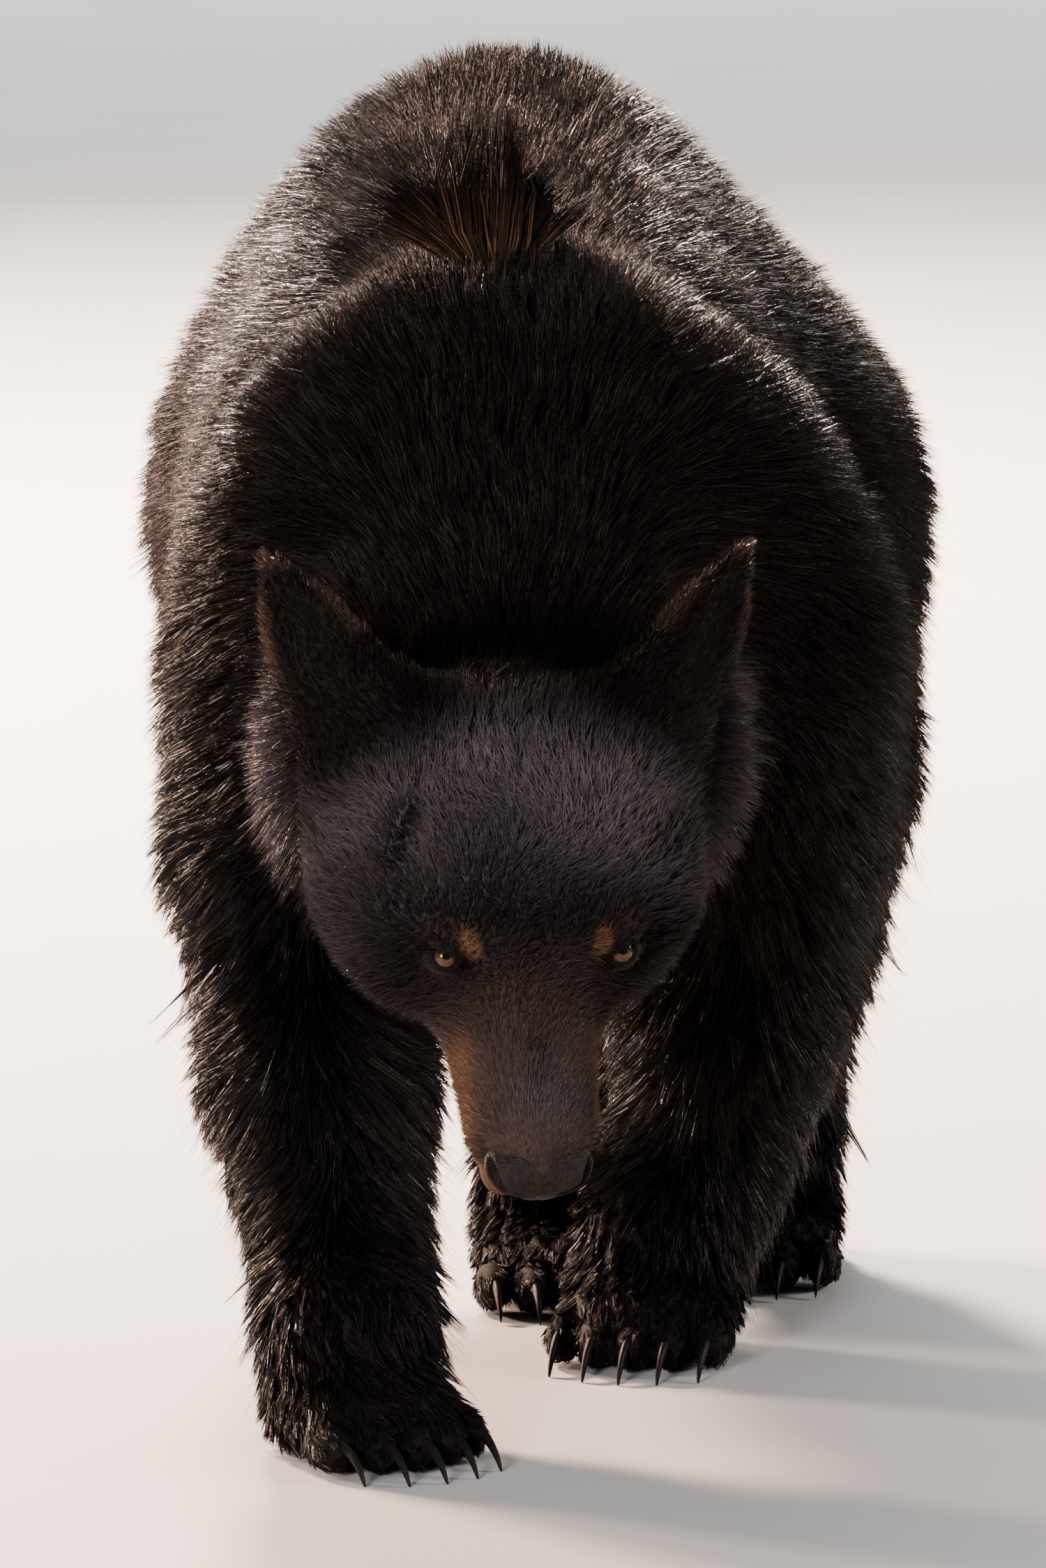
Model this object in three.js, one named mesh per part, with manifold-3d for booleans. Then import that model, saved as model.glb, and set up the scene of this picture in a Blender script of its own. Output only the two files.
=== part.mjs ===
// A life-size still model of an American black bear, walking with its head held low.
//
// Units are millimetres. +X is the bear's left, +Y runs from its nose to its tail, +Z is up.
// The body is one soft field: balls and limbs that melt into each other, out to the tips of the coat.
// Knives part that field into named pieces, each turned into a closed faceted solid of its own,
// and what stands on the floor is cut flat at z = 0. The finished bear stands centred on the origin.
import * as THREE from "three";
import { mergeVertices } from "three/addons/utils/BufferGeometryUtils.js";
import Module from "manifold-3d";

const wasm = await Module();
wasm.setup();

// ---------------------------------------------------------------- driving dimensions

const GAP = 0.35; // clearance left between neighbouring pieces
const FLOOR = 0;
const RIGHT = -1;
const LEFT = 1;

// The room the whole bear takes up before it is centred.
const ROOM = { low: [-330, -200, -60], high: [330, 1360, 870] };

// Facets: the edge length that each kind of piece is first meshed at,
// and how far the surface may stray from the true one where facets are joined up.
const FACET = {
  trunk: [34, 3.6], neck: [28, 3], upper: [24, 2.6], lower: [20, 2.2], paw: [10, 1.4], tail: [16, 2],
  head: [12, 1.5], muzzle: [8.5, 0.8], nose: [6, 0.7], ear: [8, 0.9],
};
const LONGEST = 5; // no facet edge grows past this many of its cells

// The head, in its own frame: origin in the middle of the braincase, nose towards -Y, crown towards +Z.
const HEAD = {
  at: [-10, 22, 416],
  pitch: 57, // how far the nose hangs below level
  turn: 10, // and how far it points to the bear's left
};
// Each eye looks outward and towards the crown by so many degrees, through a recess in front of the eyeball.
const EYE = { at: [57, -94, 43], radius: 11.5, recess: [14, 10, 9], outward: 24, upward: 44 };
const EAR = {
  base: [112, 90, 66], up: [0.46, 0.8, 0.38], facing: [0.55, -0.35, 0.73],
  height: 103, root: 40, width: 60, tip: 13, thin: 0.42,
};
const NOSE = { at: [0, -216, -6], size: [33, 19, 21], back: -205 };
const NOSTRIL = { at: [13, -234, -7], size: [6.5, 8, 4.5] };
const MOUTH = { height: -40, corner: -112 }; // the lip line, and where the muzzle meets the face

// The legs. A foot is [x, y] of the middle of its sole, and yaw turns its toes towards the middle.
const LEGS = {
  foreleg_right: {
    side: RIGHT, kind: "fore",
    top: [-142, 350, 480], joint: [-154, 280, 365], ankle: [-116, 150, 92], foot: [-104, 98], yaw: 30,
  },
  foreleg_left: {
    side: LEFT, kind: "fore",
    top: [158, 420, 480], joint: [160, 455, 350], ankle: [118, 486, 108], foot: [86, 440], yaw: 12,
  },
  hindleg_right: {
    side: RIGHT, kind: "hind",
    top: [-118, 990, 500], joint: [-34, 850, 345], ankle: [26, 738, 100], foot: [20, 662], yaw: 8,
  },
  hindleg_left: {
    side: LEFT, kind: "hind",
    top: [148, 1010, 500], joint: [182, 905, 330], ankle: [172, 828, 105], foot: [166, 752], yaw: 8,
  },
};

// Limb thickness over the coat, as radii at the shoulder or hip, the elbow or knee, mid-shank and ankle,
// and how far the middle of the shank bows backwards.
const THICK = {
  fore: { top: 95, joint: 83, shank: 77, ankle: 62, bow: 8 },
  hind: { top: 128, joint: 95, shank: 72, ankle: 58, bow: 26 },
};

// One paw, in its own frame: the middle of the sole on the floor at the origin, toes towards -Y.
const PAW = {
  fore: { width: 62, palm: 54, heel: 34, height: 34, wrist: 62, toeReach: 60, claw: 33 },
  hind: { width: 57, palm: 66, heel: 58, height: 32, wrist: 54, toeReach: 82, claw: 27 },
};
const TOES = 5;
const TOE = { spacing: 25.5, arc: 4.6, size: [15, 27, 19], height: 18 };
const CLAW = { radius: 5.6, thin: 0.7, bend: 62, rings: 3, sides: 5, rise: 5, sunk: 14 };

// Where the knives part the body. Each begins at a point, runs towards a direction and has a width,
// a height and a length. Those of the face are in the head's frame, and the ear's is in its own.
const FACE_CUTS = {
  nose: [[0, NOSE.back, -2], [0, -1, 0], [90, 46, 60]],
  jaw: [[0, MOUTH.corner - 90, MOUTH.height], [0, -0.06, -1], [160, 180, 90]],
  muzzle: [[0, MOUTH.corner, -10], [0, -1, 0], [150, 190, 200]],
  head: [[0, 72, -8], [0, -1, 0.45], [290, 310, 240]],
};
const EAR_CUT = [[0, 0, 16], [0, 0, 1], [124, 80, 130]];
const TAIL_CUT = [[-2, 1236, 640], [0, 0.85, -0.52], [110, 150, 160]];
const LEG_CUTS = {
  foreleg_right: {
    paw: [[-112, 128, 92], [0, -0.2, -1], [190, 300, 160]],
    lower: [[-132, 210, 225], [0.1, -0.32, -1], [190, 240, 330]],
    upper: [[-160, 300, 350], [-0.3, -0.3, -1], [200, 260, 420]],
  },
  foreleg_left: {
    paw: [[90, 438, 98], [0, 0, -1], [200, 210, 160]],
    lower: [[130, 480, 225], [-0.15, 0.1, -1], [210, 250, 330]],
    upper: [[158, 450, 345], [0.25, 0.05, -1], [220, 270, 420]],
  },
  hindleg_right: {
    paw: [[15, 690, 98], [0, -0.1, -1], [150, 290, 160]],
    lower: [[-8, 790, 225], [0.12, -0.35, -1], [190, 260, 330]],
    upper: [[-80, 900, 330], [-0.1, -0.35, -1], [250, 340, 420]],
  },
  hindleg_left: {
    paw: [[167, 780, 100], [0, -0.1, -1], [150, 290, 160]],
    lower: [[180, 868, 225], [0, -0.2, -1], [190, 260, 330]],
    upper: [[185, 950, 330], [0.25, -0.25, -1], [230, 340, 420]],
  },
};
const TRUNK_CUTS = {
  neck: [[-8, 285, 535], [0, -0.84, -0.54], [520, 470, 420]],
  shoulders: [[0, 560, 500], [0, -1, 0], [900, 900, 900]],
  barrel: [[0, 850, 500], [0, -1, 0], [900, 900, 900]],
  hindquarters: [[0, 1500, 500], [0, -1, 0], [900, 900, 1400]],
};

// ---------------------------------------------------------------- the soft field

const radians = THREE.MathUtils.degToRad;
const vector = (v) => (v.isVector3 ? v.clone() : new THREE.Vector3(...v));

function smoothMin(a, b, reach) {
  const near = Math.max(reach - Math.abs(a - b), 0) / reach;
  return Math.min(a, b) - (near * near * reach) / 4;
}

// A mass knows its distance in its own frame, and the frame's matrix places it.
function mass(matrix, distance, reach, { blend = 30, hollow = false } = {}) {
  const inverse = matrix.clone().invert();
  const centre = new THREE.Vector3().setFromMatrixPosition(matrix);
  return { matrix, inverse, centre, distance, reach, blend, hollow };
}

function frameAt(at, turn = [0, 0, 0]) {
  const spin = new THREE.Euler(...turn.map(radians), "ZYX");
  return new THREE.Matrix4().makeRotationFromEuler(spin).setPosition(vector(at));
}

// An ellipsoid with three radii.
function ball(at, size, { turn, ...options } = {}) {
  const [rx, ry, rz] = size;
  const distance = (p) => {
    const scaled = Math.hypot(p.x / rx, p.y / ry, p.z / rz);
    const slope = Math.hypot(p.x / rx ** 2, p.y / ry ** 2, p.z / rz ** 2);
    return slope > 0 ? (scaled * (scaled - 1)) / slope : -Math.min(rx, ry, rz);
  };
  return mass(frameAt(at, turn), distance, Math.max(rx, ry, rz), options);
}

// A round-ended limb that tapers from one radius to another. thin below 1 flattens it from front to back.
function limb(from, to, r1, r2, { thin = 1, side = [1, 0, 0], ...options } = {}) {
  const a = vector(from);
  const along = vector(to).sub(a);
  const length = along.length();
  const z = along.normalize();
  const y = z.clone().cross(vector(side)).normalize();
  const matrix = new THREE.Matrix4().makeBasis(y.clone().cross(z), y, z).setPosition(a);
  const distance = (p) => {
    const t = THREE.MathUtils.clamp(p.z / length, 0, 1);
    return (Math.hypot(p.x, p.y / thin, p.z - t * length) - (r1 + (r2 - r1) * t)) * thin;
  };
  return mass(matrix, distance, length + Math.max(r1, r2), options);
}

const moved = (masses, matrix) =>
  masses.map((m) => mass(matrix.clone().multiply(m.matrix), m.distance, m.reach, m));

const probe = new THREE.Vector3();

function fieldOf(masses) {
  const solid = masses.filter((m) => !m.hollow);
  const hollow = masses.filter((m) => m.hollow);
  const read = (m, p) => m.distance(probe.copy(p).applyMatrix4(m.inverse));
  return (p) => {
    let d = 1e3;
    for (const m of solid) {
      if (m.centre.distanceTo(p) - m.reach < d + m.blend) d = smoothMin(d, read(m, p), m.blend);
    }
    for (const m of hollow) d = -smoothMin(-d, read(m, p), m.blend);
    return d;
  };
}

// ---------------------------------------------------------------- the bear's masses

const pair = (make) => [RIGHT, LEFT].flatMap(make);

function trunkMasses() {
  return [
    ball([2, 420, 520], [190, 210, 225], { blend: 90 }), // chest
    ball([-12, 430, 640], [122, 150, 110], { blend: 70 }), // withers
    ball([-12, 690, 500], [232, 262, 236], { blend: 60 }), // ribs and belly
    ball([-14, 700, 610], [172, 290, 182], { blend: 80 }), // back
    ball([12, 890, 515], [262, 236, 212], { blend: 60 }), // flanks
    ball([-16, 890, 606], [176, 240, 206], { blend: 80 }), // loin
    ball([-14, 1030, 604], [182, 220, 222], { blend: 80 }), // rump
    ...pair((s) => ball([4 + s * 142, 385 + s * 25, 500], [96, 140, 180], { blend: 70 })), // shoulders
    ...pair((s) => ball([6 + s * 132, 1000, 492], [132, 156, 186], { blend: 80 })), // haunches
  ];
}

function neckMasses() {
  return [
    ball([-15, 152, 446], [167, 88, 142], { blend: 50 }), // ruff
    ball([-12, 120, 502], [112, 62, 72], { blend: 44 }), // nape
    limb([-10, 205, 475], [-8, 360, 565], 150, 186, { blend: 60 }), // neck
    limb([-10, 120, 370], [-8, 300, 430], 88, 120, { blend: 50 }), // throat
  ];
}

function tailMasses() {
  return [limb([-4, 1222, 655], [0, 1280, 566], 36, 22, { blend: 34 })];
}

function headMasses() {
  const [nostrilX, ...nostril] = NOSTRIL.at;
  return [
    ball([0, 0, 0], [125, 118, 103], { blend: 18 }), // braincase
    ball([0, -40, 30], [82, 70, 60], { blend: 36 }), // forehead
    ...pair((s) => ball([s * 58, -8, -26], [65, 86, 80], { blend: 40 })), // cheeks
    ...pair((s) => ball([s * 42, -82, 54], [26, 18, 13], { blend: 22 })), // brows
    limb([0, -78, 6], [0, -186, -6], 50, 38, { blend: 30 }), // upper muzzle
    ...pair((s) => limb([s * 30, -84, -26], [s * 27, -190, -25], 22, 16, { blend: 24 })), // upper lips
    limb([0, -60, -50], [0, -182, -40], 38, 22, { blend: 30 }), // lower jaw
    ball(NOSE.at, NOSE.size, { blend: 14 }),
    ...pair((s) => ball([s * nostrilX, ...nostril], NOSTRIL.size, { blend: 3, hollow: true })),
    ...pair(earMasses),
  ];
}

// The frame of an ear: x across it, -y the way its hollow faces, z up to its tip.
function earFrame(s) {
  const up = new THREE.Vector3(s * EAR.up[0], EAR.up[1], EAR.up[2]).normalize();
  const facing = new THREE.Vector3(s * EAR.facing[0], EAR.facing[1], EAR.facing[2]);
  const across = up.clone().cross(facing).normalize();
  const back = up.clone().cross(across);
  const foot = new THREE.Vector3(s * EAR.base[0], EAR.base[1], EAR.base[2]);
  return new THREE.Matrix4().makeBasis(across, back, up).setPosition(foot);
}

// A lobe that narrows to a rounded tip, thin from front to back and hollowed on the side it faces.
function earMasses(s) {
  const { height, root, width, tip, thin } = EAR;
  return moved([
    limb([0, 8, -root], [s * 3, 3, height * 0.34], width, width * 0.48, { blend: 26, thin }),
    limb([s * 3, 3, height * 0.28], [s * 2, 0, height - tip], width * 0.5, tip, { blend: 14, thin: 0.5 }),
    limb(
      [s * 2, -width * 0.44, 8], [s * 2, -width * 0.2, height * 0.74], width * 0.38, width * 0.15,
      { blend: 6, thin: 0.72, hollow: true },
    ),
  ], earFrame(s));
}

function legMasses({ side, kind, top, joint, ankle, foot, yaw }) {
  const t = THICK[kind];
  const shank = vector(joint).lerp(vector(ankle), 0.5).add(new THREE.Vector3(0, t.bow, 0));
  return [
    limb(top, joint, t.top, t.joint, { blend: 60 }),
    limb(joint, shank, t.joint, t.shank, { blend: 40 }),
    limb(shank, ankle, t.shank, t.ankle, { blend: 36 }),
    ...moved(pawMasses(kind), pawFrame(side, foot, yaw)),
  ];
}

const pawFrame = (side, [x, y], yaw) => frameAt([x, y, FLOOR], [0, 0, -side * yaw]);

function pawMasses(kind) {
  const { width, palm, heel, height, wrist } = PAW[kind];
  return [
    ball([0, -14, height - 4], [width, palm, height], { blend: 26 }),
    ball([0, heel * 0.9, height - 4], [width * 0.78, heel * 1.25, height], { blend: 26 }),
    limb([0, heel * 0.6, height], [0, heel * 0.7, height * 2.4], wrist * 0.92, wrist, { blend: 30 }),
    ...toesOf(kind).map((at) => ball(at, TOE.size, { blend: 8 })),
  ];
}

// The middle of each toe, fanned on a shallow arc.
function toesOf(kind) {
  return Array.from({ length: TOES }, (_, i) => {
    const k = i - (TOES - 1) / 2;
    return [k * TOE.spacing, -PAW[kind].toeReach + k * k * TOE.arc, TOE.height];
  });
}

// A claw curves forward and down from the top of its toe, thinning to a point.
function clawAt([x, y, z], length) {
  const { radius, thin, bend, rings, sides, rise, sunk } = CLAW;
  const positions = [];
  const index = [];
  const spine = new THREE.Vector3(x, y - TOE.size[1] + sunk, z + rise);
  for (let i = 0; i <= rings; i++) {
    const t = i / rings;
    const lean = radians(bend * t);
    const heading = new THREE.Vector3(0, -Math.cos(lean), -Math.sin(lean));
    const up = new THREE.Vector3(0, -Math.sin(lean), Math.cos(lean));
    if (i) spine.addScaledVector(heading, (length + sunk) / rings);
    const size = radius * (1 - t) ** 0.6;
    for (let j = 0; j < (i < rings ? sides : 1); j++) {
      const turn = (2 * Math.PI * j) / sides;
      const p = spine.clone().addScaledVector(up, size * Math.cos(turn));
      p.x += size * thin * Math.sin(turn);
      positions.push(...p.toArray());
    }
  }
  for (let i = 0; i < rings; i++) {
    for (let j = 0; j < sides; j++) {
      const [a, b] = [i * sides + j, i * sides + ((j + 1) % sides)];
      if (i < rings - 1) index.push(a, a + sides, b, b, a + sides, b + sides);
      else index.push(a, rings * sides, b);
    }
  }
  for (let j = 1; j < sides - 1; j++) index.push(0, j, j + 1);
  return new THREE.BufferGeometry()
    .setAttribute("position", new THREE.BufferAttribute(new Float32Array(positions), 3))
    .setIndex(index);
}

// ---------------------------------------------------------------- field to facets

// Surface nets: one vertex for each cell that the surface crosses, pulled onto the surface itself.
function facets(field, low, high, cell) {
  const n = low.map((v, k) => Math.ceil((high[k] - v) / cell) + 1);
  const at = (i, j, k) => i + n[0] * (j + n[1] * k);
  const point = (i, j, k) => new THREE.Vector3(low[0] + i * cell, low[1] + j * cell, low[2] + k * cell);
  const values = new Float64Array(n[0] * n[1] * n[2]);
  for (let k = 0; k < n[2]; k++)
    for (let j = 0; j < n[1]; j++)
      for (let i = 0; i < n[0]; i++) {
        const rim = i === 0 || j === 0 || k === 0 || i === n[0] - 1 || j === n[1] - 1 || k === n[2] - 1;
        values[at(i, j, k)] = rim ? cell : field(point(i, j, k));
      }

  fillPinches(values, n, cell);
  const corners = Array.from({ length: 8 }, (_, c) => [c & 1, (c >> 1) & 1, (c >> 2) & 1]);
  const vertexOf = new Map();
  const vertices = [];
  const apart = (a, b) => Math.abs(a[0] - b[0]) + Math.abs(a[1] - b[1]) + Math.abs(a[2] - b[2]);
  const cornerPairs = corners.flatMap((a, i) =>
    corners.slice(i + 1).filter((b) => apart(a, b) === 1).map((b) => [a, b]));
  for (let k = 0; k < n[2] - 1; k++)
    for (let j = 0; j < n[1] - 1; j++)
      for (let i = 0; i < n[0] - 1; i++) {
        const sum = new THREE.Vector3();
        let crossings = 0;
        for (const [a, b] of cornerPairs) {
          const va = values[at(i + a[0], j + a[1], k + a[2])];
          const vb = values[at(i + b[0], j + b[1], k + b[2])];
          if (va < 0 === vb < 0) continue;
          const t = va / (va - vb);
          sum.add(point(i + a[0], j + a[1], k + a[2]).lerp(point(i + b[0], j + b[1], k + b[2]), t));
          crossings += 1;
        }
        if (!crossings) continue;
        vertexOf.set(at(i, j, k), vertices.length / 3);
        vertices.push(...ontoSurface(field, sum.divideScalar(crossings), cell / 2).toArray());
      }

  const faces = [];
  const steps = [[1, 0, 0], [0, 1, 0], [0, 0, 1]];
  for (let k = 0; k < n[2] - 1; k++)
    for (let j = 0; j < n[1] - 1; j++)
      for (let i = 0; i < n[0] - 1; i++)
        steps.forEach((step, axis) => {
          const here = values[at(i, j, k)] < 0;
          const there = values[at(i + step[0], j + step[1], k + step[2])] < 0;
          if (here === there) return;
          const u = steps[(axis + 1) % 3];
          const v = steps[(axis + 2) % 3];
          const ring = [[0, 0], [1, 0], [1, 1], [0, 1]].map(([a, b]) =>
            vertexOf.get(at(i - a * u[0] - b * v[0], j - a * u[1] - b * v[1], k - a * u[2] - b * v[2])));
          if (!here) ring.reverse();
          faces.push(ring[0], ring[1], ring[2], ring[0], ring[2], ring[3]);
        });
  return { vertices, faces };
}

// Where only two opposite corners of a grid square are inside, the surface would touch itself along an edge.
// Taking a third corner in keeps it a clean skin.
function fillPinches(values, n, cell) {
  const strides = [1, n[0], n[0] * n[1]];
  const barely = -cell / 50;
  let found = true;
  while (found) {
    found = false;
    for (let a = 0; a < 3; a++) {
      const u = strides[a];
      const v = strides[(a + 1) % 3];
      for (let i = 0; i + u + v < values.length; i++) {
        const [p, q, r, s] = [values[i] < 0, values[i + u] < 0, values[i + v] < 0, values[i + u + v] < 0];
        if (p !== s || q !== r || p === q) continue;
        values[p ? i + u : i] = barely;
        found = true;
      }
    }
  }
}

// Newton steps along the field's slope, kept within a short leash of where the point began.
function ontoSurface(field, start, leash) {
  const step = 0.5;
  const p = start.clone();
  for (let round = 0; round < 3; round++) {
    const slope = new THREE.Vector3();
    for (const axis of ["x", "y", "z"]) {
      const a = p.clone();
      const b = p.clone();
      a[axis] += step;
      b[axis] -= step;
      slope[axis] = (field(a) - field(b)) / (2 * step);
    }
    if (slope.lengthSq() < 1e-3) break;
    p.addScaledVector(slope, -field(p) / slope.lengthSq());
  }
  const travel = p.clone().sub(start);
  return travel.length() > leash ? start.clone().add(travel.setLength(leash)) : p;
}

// ---------------------------------------------------------------- fewer facets

// A quadric sums the squared distances to a set of planes: ten products, and the area they stand for.
function planeQuadric(a, b, c) {
  const n = b.clone().sub(a).cross(c.clone().sub(a));
  const area = n.length() / 2;
  if (area > 0) n.divideScalar(2 * area);
  const d = -n.dot(a);
  const q = [n.x, n.y, n.z, d];
  return [...q.flatMap((u, i) => q.slice(i).map((v) => u * v * area)), area];
}

function meanSquare(q, { x, y, z }) {
  const [xx, xy, xz, xd, yy, yz, yd, zz, zd, dd, area] = q;
  const sum = xx * x * x + yy * y * y + zz * z * z + dd
    + 2 * (xy * x * y + xz * x * z + yz * y * z + xd * x + yd * y + zd * z);
  return Math.max(sum, 0) / Math.max(area, 1e-9);
}

// Merges neighbouring vertices, the least noticed first, while the surface stays within `tolerance`.
function thinOut({ vertices, faces }, field, tolerance, longest) {
  const rounds = 14;
  const inThrees = (list, make) => Array.from({ length: list.length / 3 }, (_, i) => make(i * 3));
  const points = inThrees(vertices, (i) => new THREE.Vector3().fromArray(vertices, i));
  const triangles = inThrees(faces, (i) => faces.slice(i, i + 3));
  const around = points.map(() => new Set());
  const quadrics = points.map(() => new Array(11).fill(0));
  const mergeInto = (q, more) => more.forEach((v, i) => { q[i] += v; });
  triangles.forEach((t, i) => {
    const q = planeQuadric(...t.map((v) => points[v]));
    for (const v of t) {
      around[v].add(i);
      mergeInto(quadrics[v], q);
    }
  });
  const neighbours = (v) => {
    const found = new Set([...around[v]].flatMap((i) => triangles[i]));
    found.delete(v);
    return found;
  };
  const normal = (corners) => {
    const [a, b, c] = corners;
    return b.clone().sub(a).cross(c.clone().sub(a));
  };
  const flips = (v, other, to) => [...around[v]].some((i) => {
    if (triangles[i].includes(other)) return false;
    const before = normal(triangles[i].map((k) => points[k]));
    const after = normal(triangles[i].map((k) => (k === v ? to : points[k])));
    return before.dot(after) < 0.35 * before.length() * after.length() || after.length() < 1e-3;
  });
  const fixed = points.map((p) => Math.abs(field(p)) > tolerance); // where the grid's rim shut the surface
  const candidate = (a, b) => {
    if (fixed[a] || fixed[b] || points[a].distanceTo(points[b]) > longest) return null;
    const q = quadrics[a].map((v, i) => v + quadrics[b][i]);
    const middle = points[a].clone().lerp(points[b], 0.5);
    const [to] = [middle, points[a], points[b]].sort((u, v) => meanSquare(q, u) - meanSquare(q, v));
    return { b, to: to.clone(), cost: meanSquare(q, to) };
  };
  for (let round = 1; round <= rounds; round++) {
    const limit = (tolerance * round / rounds) ** 2;
    for (let a = 0; a < points.length; a++) {
      if (!around[a].size) continue;
      const near = neighbours(a);
      const choices = [...near].map((b) => candidate(a, b)).filter((c) => c && c.cost < limit);
      for (const { b, to } of choices.sort((u, v) => u.cost - v.cost)) {
        const shared = [...neighbours(b)].filter((v) => near.has(v));
        const settled = ontoSurface(field, to, tolerance * 2);
        if (shared.length !== 2 || flips(a, b, settled) || flips(b, a, settled)) continue;
        for (const i of around[b]) {
          if (triangles[i].includes(a)) {
            for (const v of triangles[i]) if (v !== b) around[v].delete(i);
            triangles[i] = null;
          } else {
            triangles[i] = triangles[i].map((v) => (v === b ? a : v));
            around[a].add(i);
          }
        }
        around[b].clear();
        mergeInto(quadrics[a], quadrics[b]);
        points[a].copy(settled);
        break;
      }
    }
  }
  return { vertices: points.flatMap((v) => v.toArray()), faces: triangles.filter(Boolean).flat() };
}

// ---------------------------------------------------------------- solids, knives and joins

function solidFrom(geometry) {
  const bare = geometry.clone().deleteAttribute("normal").deleteAttribute("uv");
  const merged = mergeVertices(bare, 1e-4);
  return new wasm.Manifold(new wasm.Mesh({
    numProp: 3,
    vertProperties: new Float32Array(merged.attributes.position.array),
    triVerts: new Uint32Array(merged.index.array),
  }));
}

function geometryFrom(solid) {
  const mesh = solid.getMesh();
  const positions = new Float32Array(mesh.numVert * 3);
  for (let i = 0; i < mesh.numVert; i++) {
    positions.set(mesh.vertProperties.subarray(i * mesh.numProp, i * mesh.numProp + 3), i * 3);
  }
  return new THREE.BufferGeometry()
    .setAttribute("position", new THREE.BufferAttribute(positions, 3))
    .setIndex(new THREE.BufferAttribute(mesh.triVerts, 1));
}

// A knife is a box that begins at a plane and runs along `towards`. Its frame has z along `towards`.
function knife(at, towards, [width, height, depth], within = new THREE.Matrix4()) {
  const z = vector(towards).normalize();
  const y = z.clone().cross(new THREE.Vector3(1, 0, 0)).normalize();
  const frame = new THREE.Matrix4().makeBasis(y.clone().cross(z), y, z).setPosition(vector(at));
  frame.premultiply(within);
  const box = (gap) => new THREE.BoxGeometry(width + 2 * gap, height + 2 * gap, depth + 2 * gap)
    .translate(0, 0, depth / 2).applyMatrix4(frame);
  const plain = box(0);
  plain.computeBoundingBox();
  return { inside: solidFrom(plain), clear: solidFrom(box(GAP)), bounds: plain.boundingBox };
}

const largest = (solid) => solid.decompose().sort((a, b) => b.volume() - a.volume())[0];

// ---------------------------------------------------------------- assembly

const headFrame = new THREE.Matrix4()
  .makeRotationFromEuler(new THREE.Euler(radians(HEAD.pitch), 0, radians(HEAD.turn), "ZXY"))
  .setPosition(vector(HEAD.at));

const bodyField = fieldOf([
  ...trunkMasses(),
  ...neckMasses(),
  ...tailMasses(),
  ...Object.values(LEGS).flatMap(legMasses),
  ...moved(headMasses(), headFrame),
]);

const room = new THREE.Box3(vector(ROOM.low), vector(ROOM.high));
const aboveFloor = knife([0, 600, FLOOR], [0, 0, 1], [2000, 3000, 2000]).inside;

const bear = new THREE.Group();
bear.name = "black_bear";
const used = [];

function place(name, material, solid) {
  const mesh = new THREE.Mesh(geometryFrom(solid), material);
  mesh.name = name;
  bear.add(mesh);
}

// Takes out of the body what lies inside a knife, clear of every piece taken before it.
function carve(name, material, facet, blade, { join = [], remove = [] } = {}) {
  const reach = blade.bounds.clone().intersect(room).expandByScalar(facet[0] * 2);
  const flesh = solidOf(bodyField, reach, facet).intersect(blade.inside);
  let solid = largest(join.reduce((whole, extra) => whole.add(extra), flesh).intersect(aboveFloor));
  const taken = used.filter((u) => u.bounds.intersectsBox(blade.bounds)).map((u) => u.clear);
  for (const cut of [...taken, ...remove]) solid = solid.subtract(cut);
  used.push(blade);
  place(name, material, largest(solid));
}

function solidOf(field, { min, max }, [cell, tolerance]) {
  const fine = facets(field, min.toArray(), max.toArray(), cell);
  const { vertices, faces } = thinOut(fine, field, tolerance, cell * LONGEST);
  return new wasm.Manifold(new wasm.Mesh({
    numProp: 3,
    vertProperties: new Float32Array(vertices),
    triVerts: new Uint32Array(faces),
  }));
}

function material(name, color, roughness) {
  return new THREE.MeshStandardMaterial({ name, color, roughness, metalness: 0 });
}
const COAT = material("coat", 0x17120f, 0.6);
const MUZZLE = material("muzzle", 0x4a3424, 0.7);
const LEATHER = material("nose_leather", 0x1d1b1c, 0.4);
const IRIS = material("iris", 0x2a150b, 0.08);

const sides = [["right", RIGHT], ["left", LEFT]];

// The face: eyes, nose, jaw, muzzle and ears, then the rest of the head.
// Each eye looks out through a recess, a lens of air between its lids.
const sockets = [];
for (const [word, s] of sides) {
  const [x, y, z] = EYE.at;
  const look = frameAt([s * x, y, z], [-EYE.upward, 0, s * EYE.outward]).premultiply(headFrame);
  const sphere = (radius) => solidFrom(new THREE.SphereGeometry(radius, 12, 8).applyMatrix4(look));
  const lens = new THREE.SphereGeometry(1, 10, 6).scale(...EYE.recess).translate(0, -EYE.radius, 0);
  place(`eye_${word}`, IRIS, sphere(EYE.radius));
  sockets.push(sphere(EYE.radius + GAP).add(solidFrom(lens.applyMatrix4(look))));
}
carve("nose_pad", LEATHER, FACET.nose, knife(...FACE_CUTS.nose, headFrame));
carve("lower_jaw", MUZZLE, FACET.muzzle, knife(...FACE_CUTS.jaw, headFrame));
carve("muzzle", MUZZLE, FACET.muzzle, knife(...FACE_CUTS.muzzle, headFrame));
for (const [word, s] of sides) {
  carve(`ear_${word}`, COAT, FACET.ear, knife(...EAR_CUT, headFrame.clone().multiply(earFrame(s))));
}
carve("head", COAT, FACET.head, knife(...FACE_CUTS.head, headFrame), { remove: sockets });
carve("tail", COAT, FACET.tail, knife(...TAIL_CUT));

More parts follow.
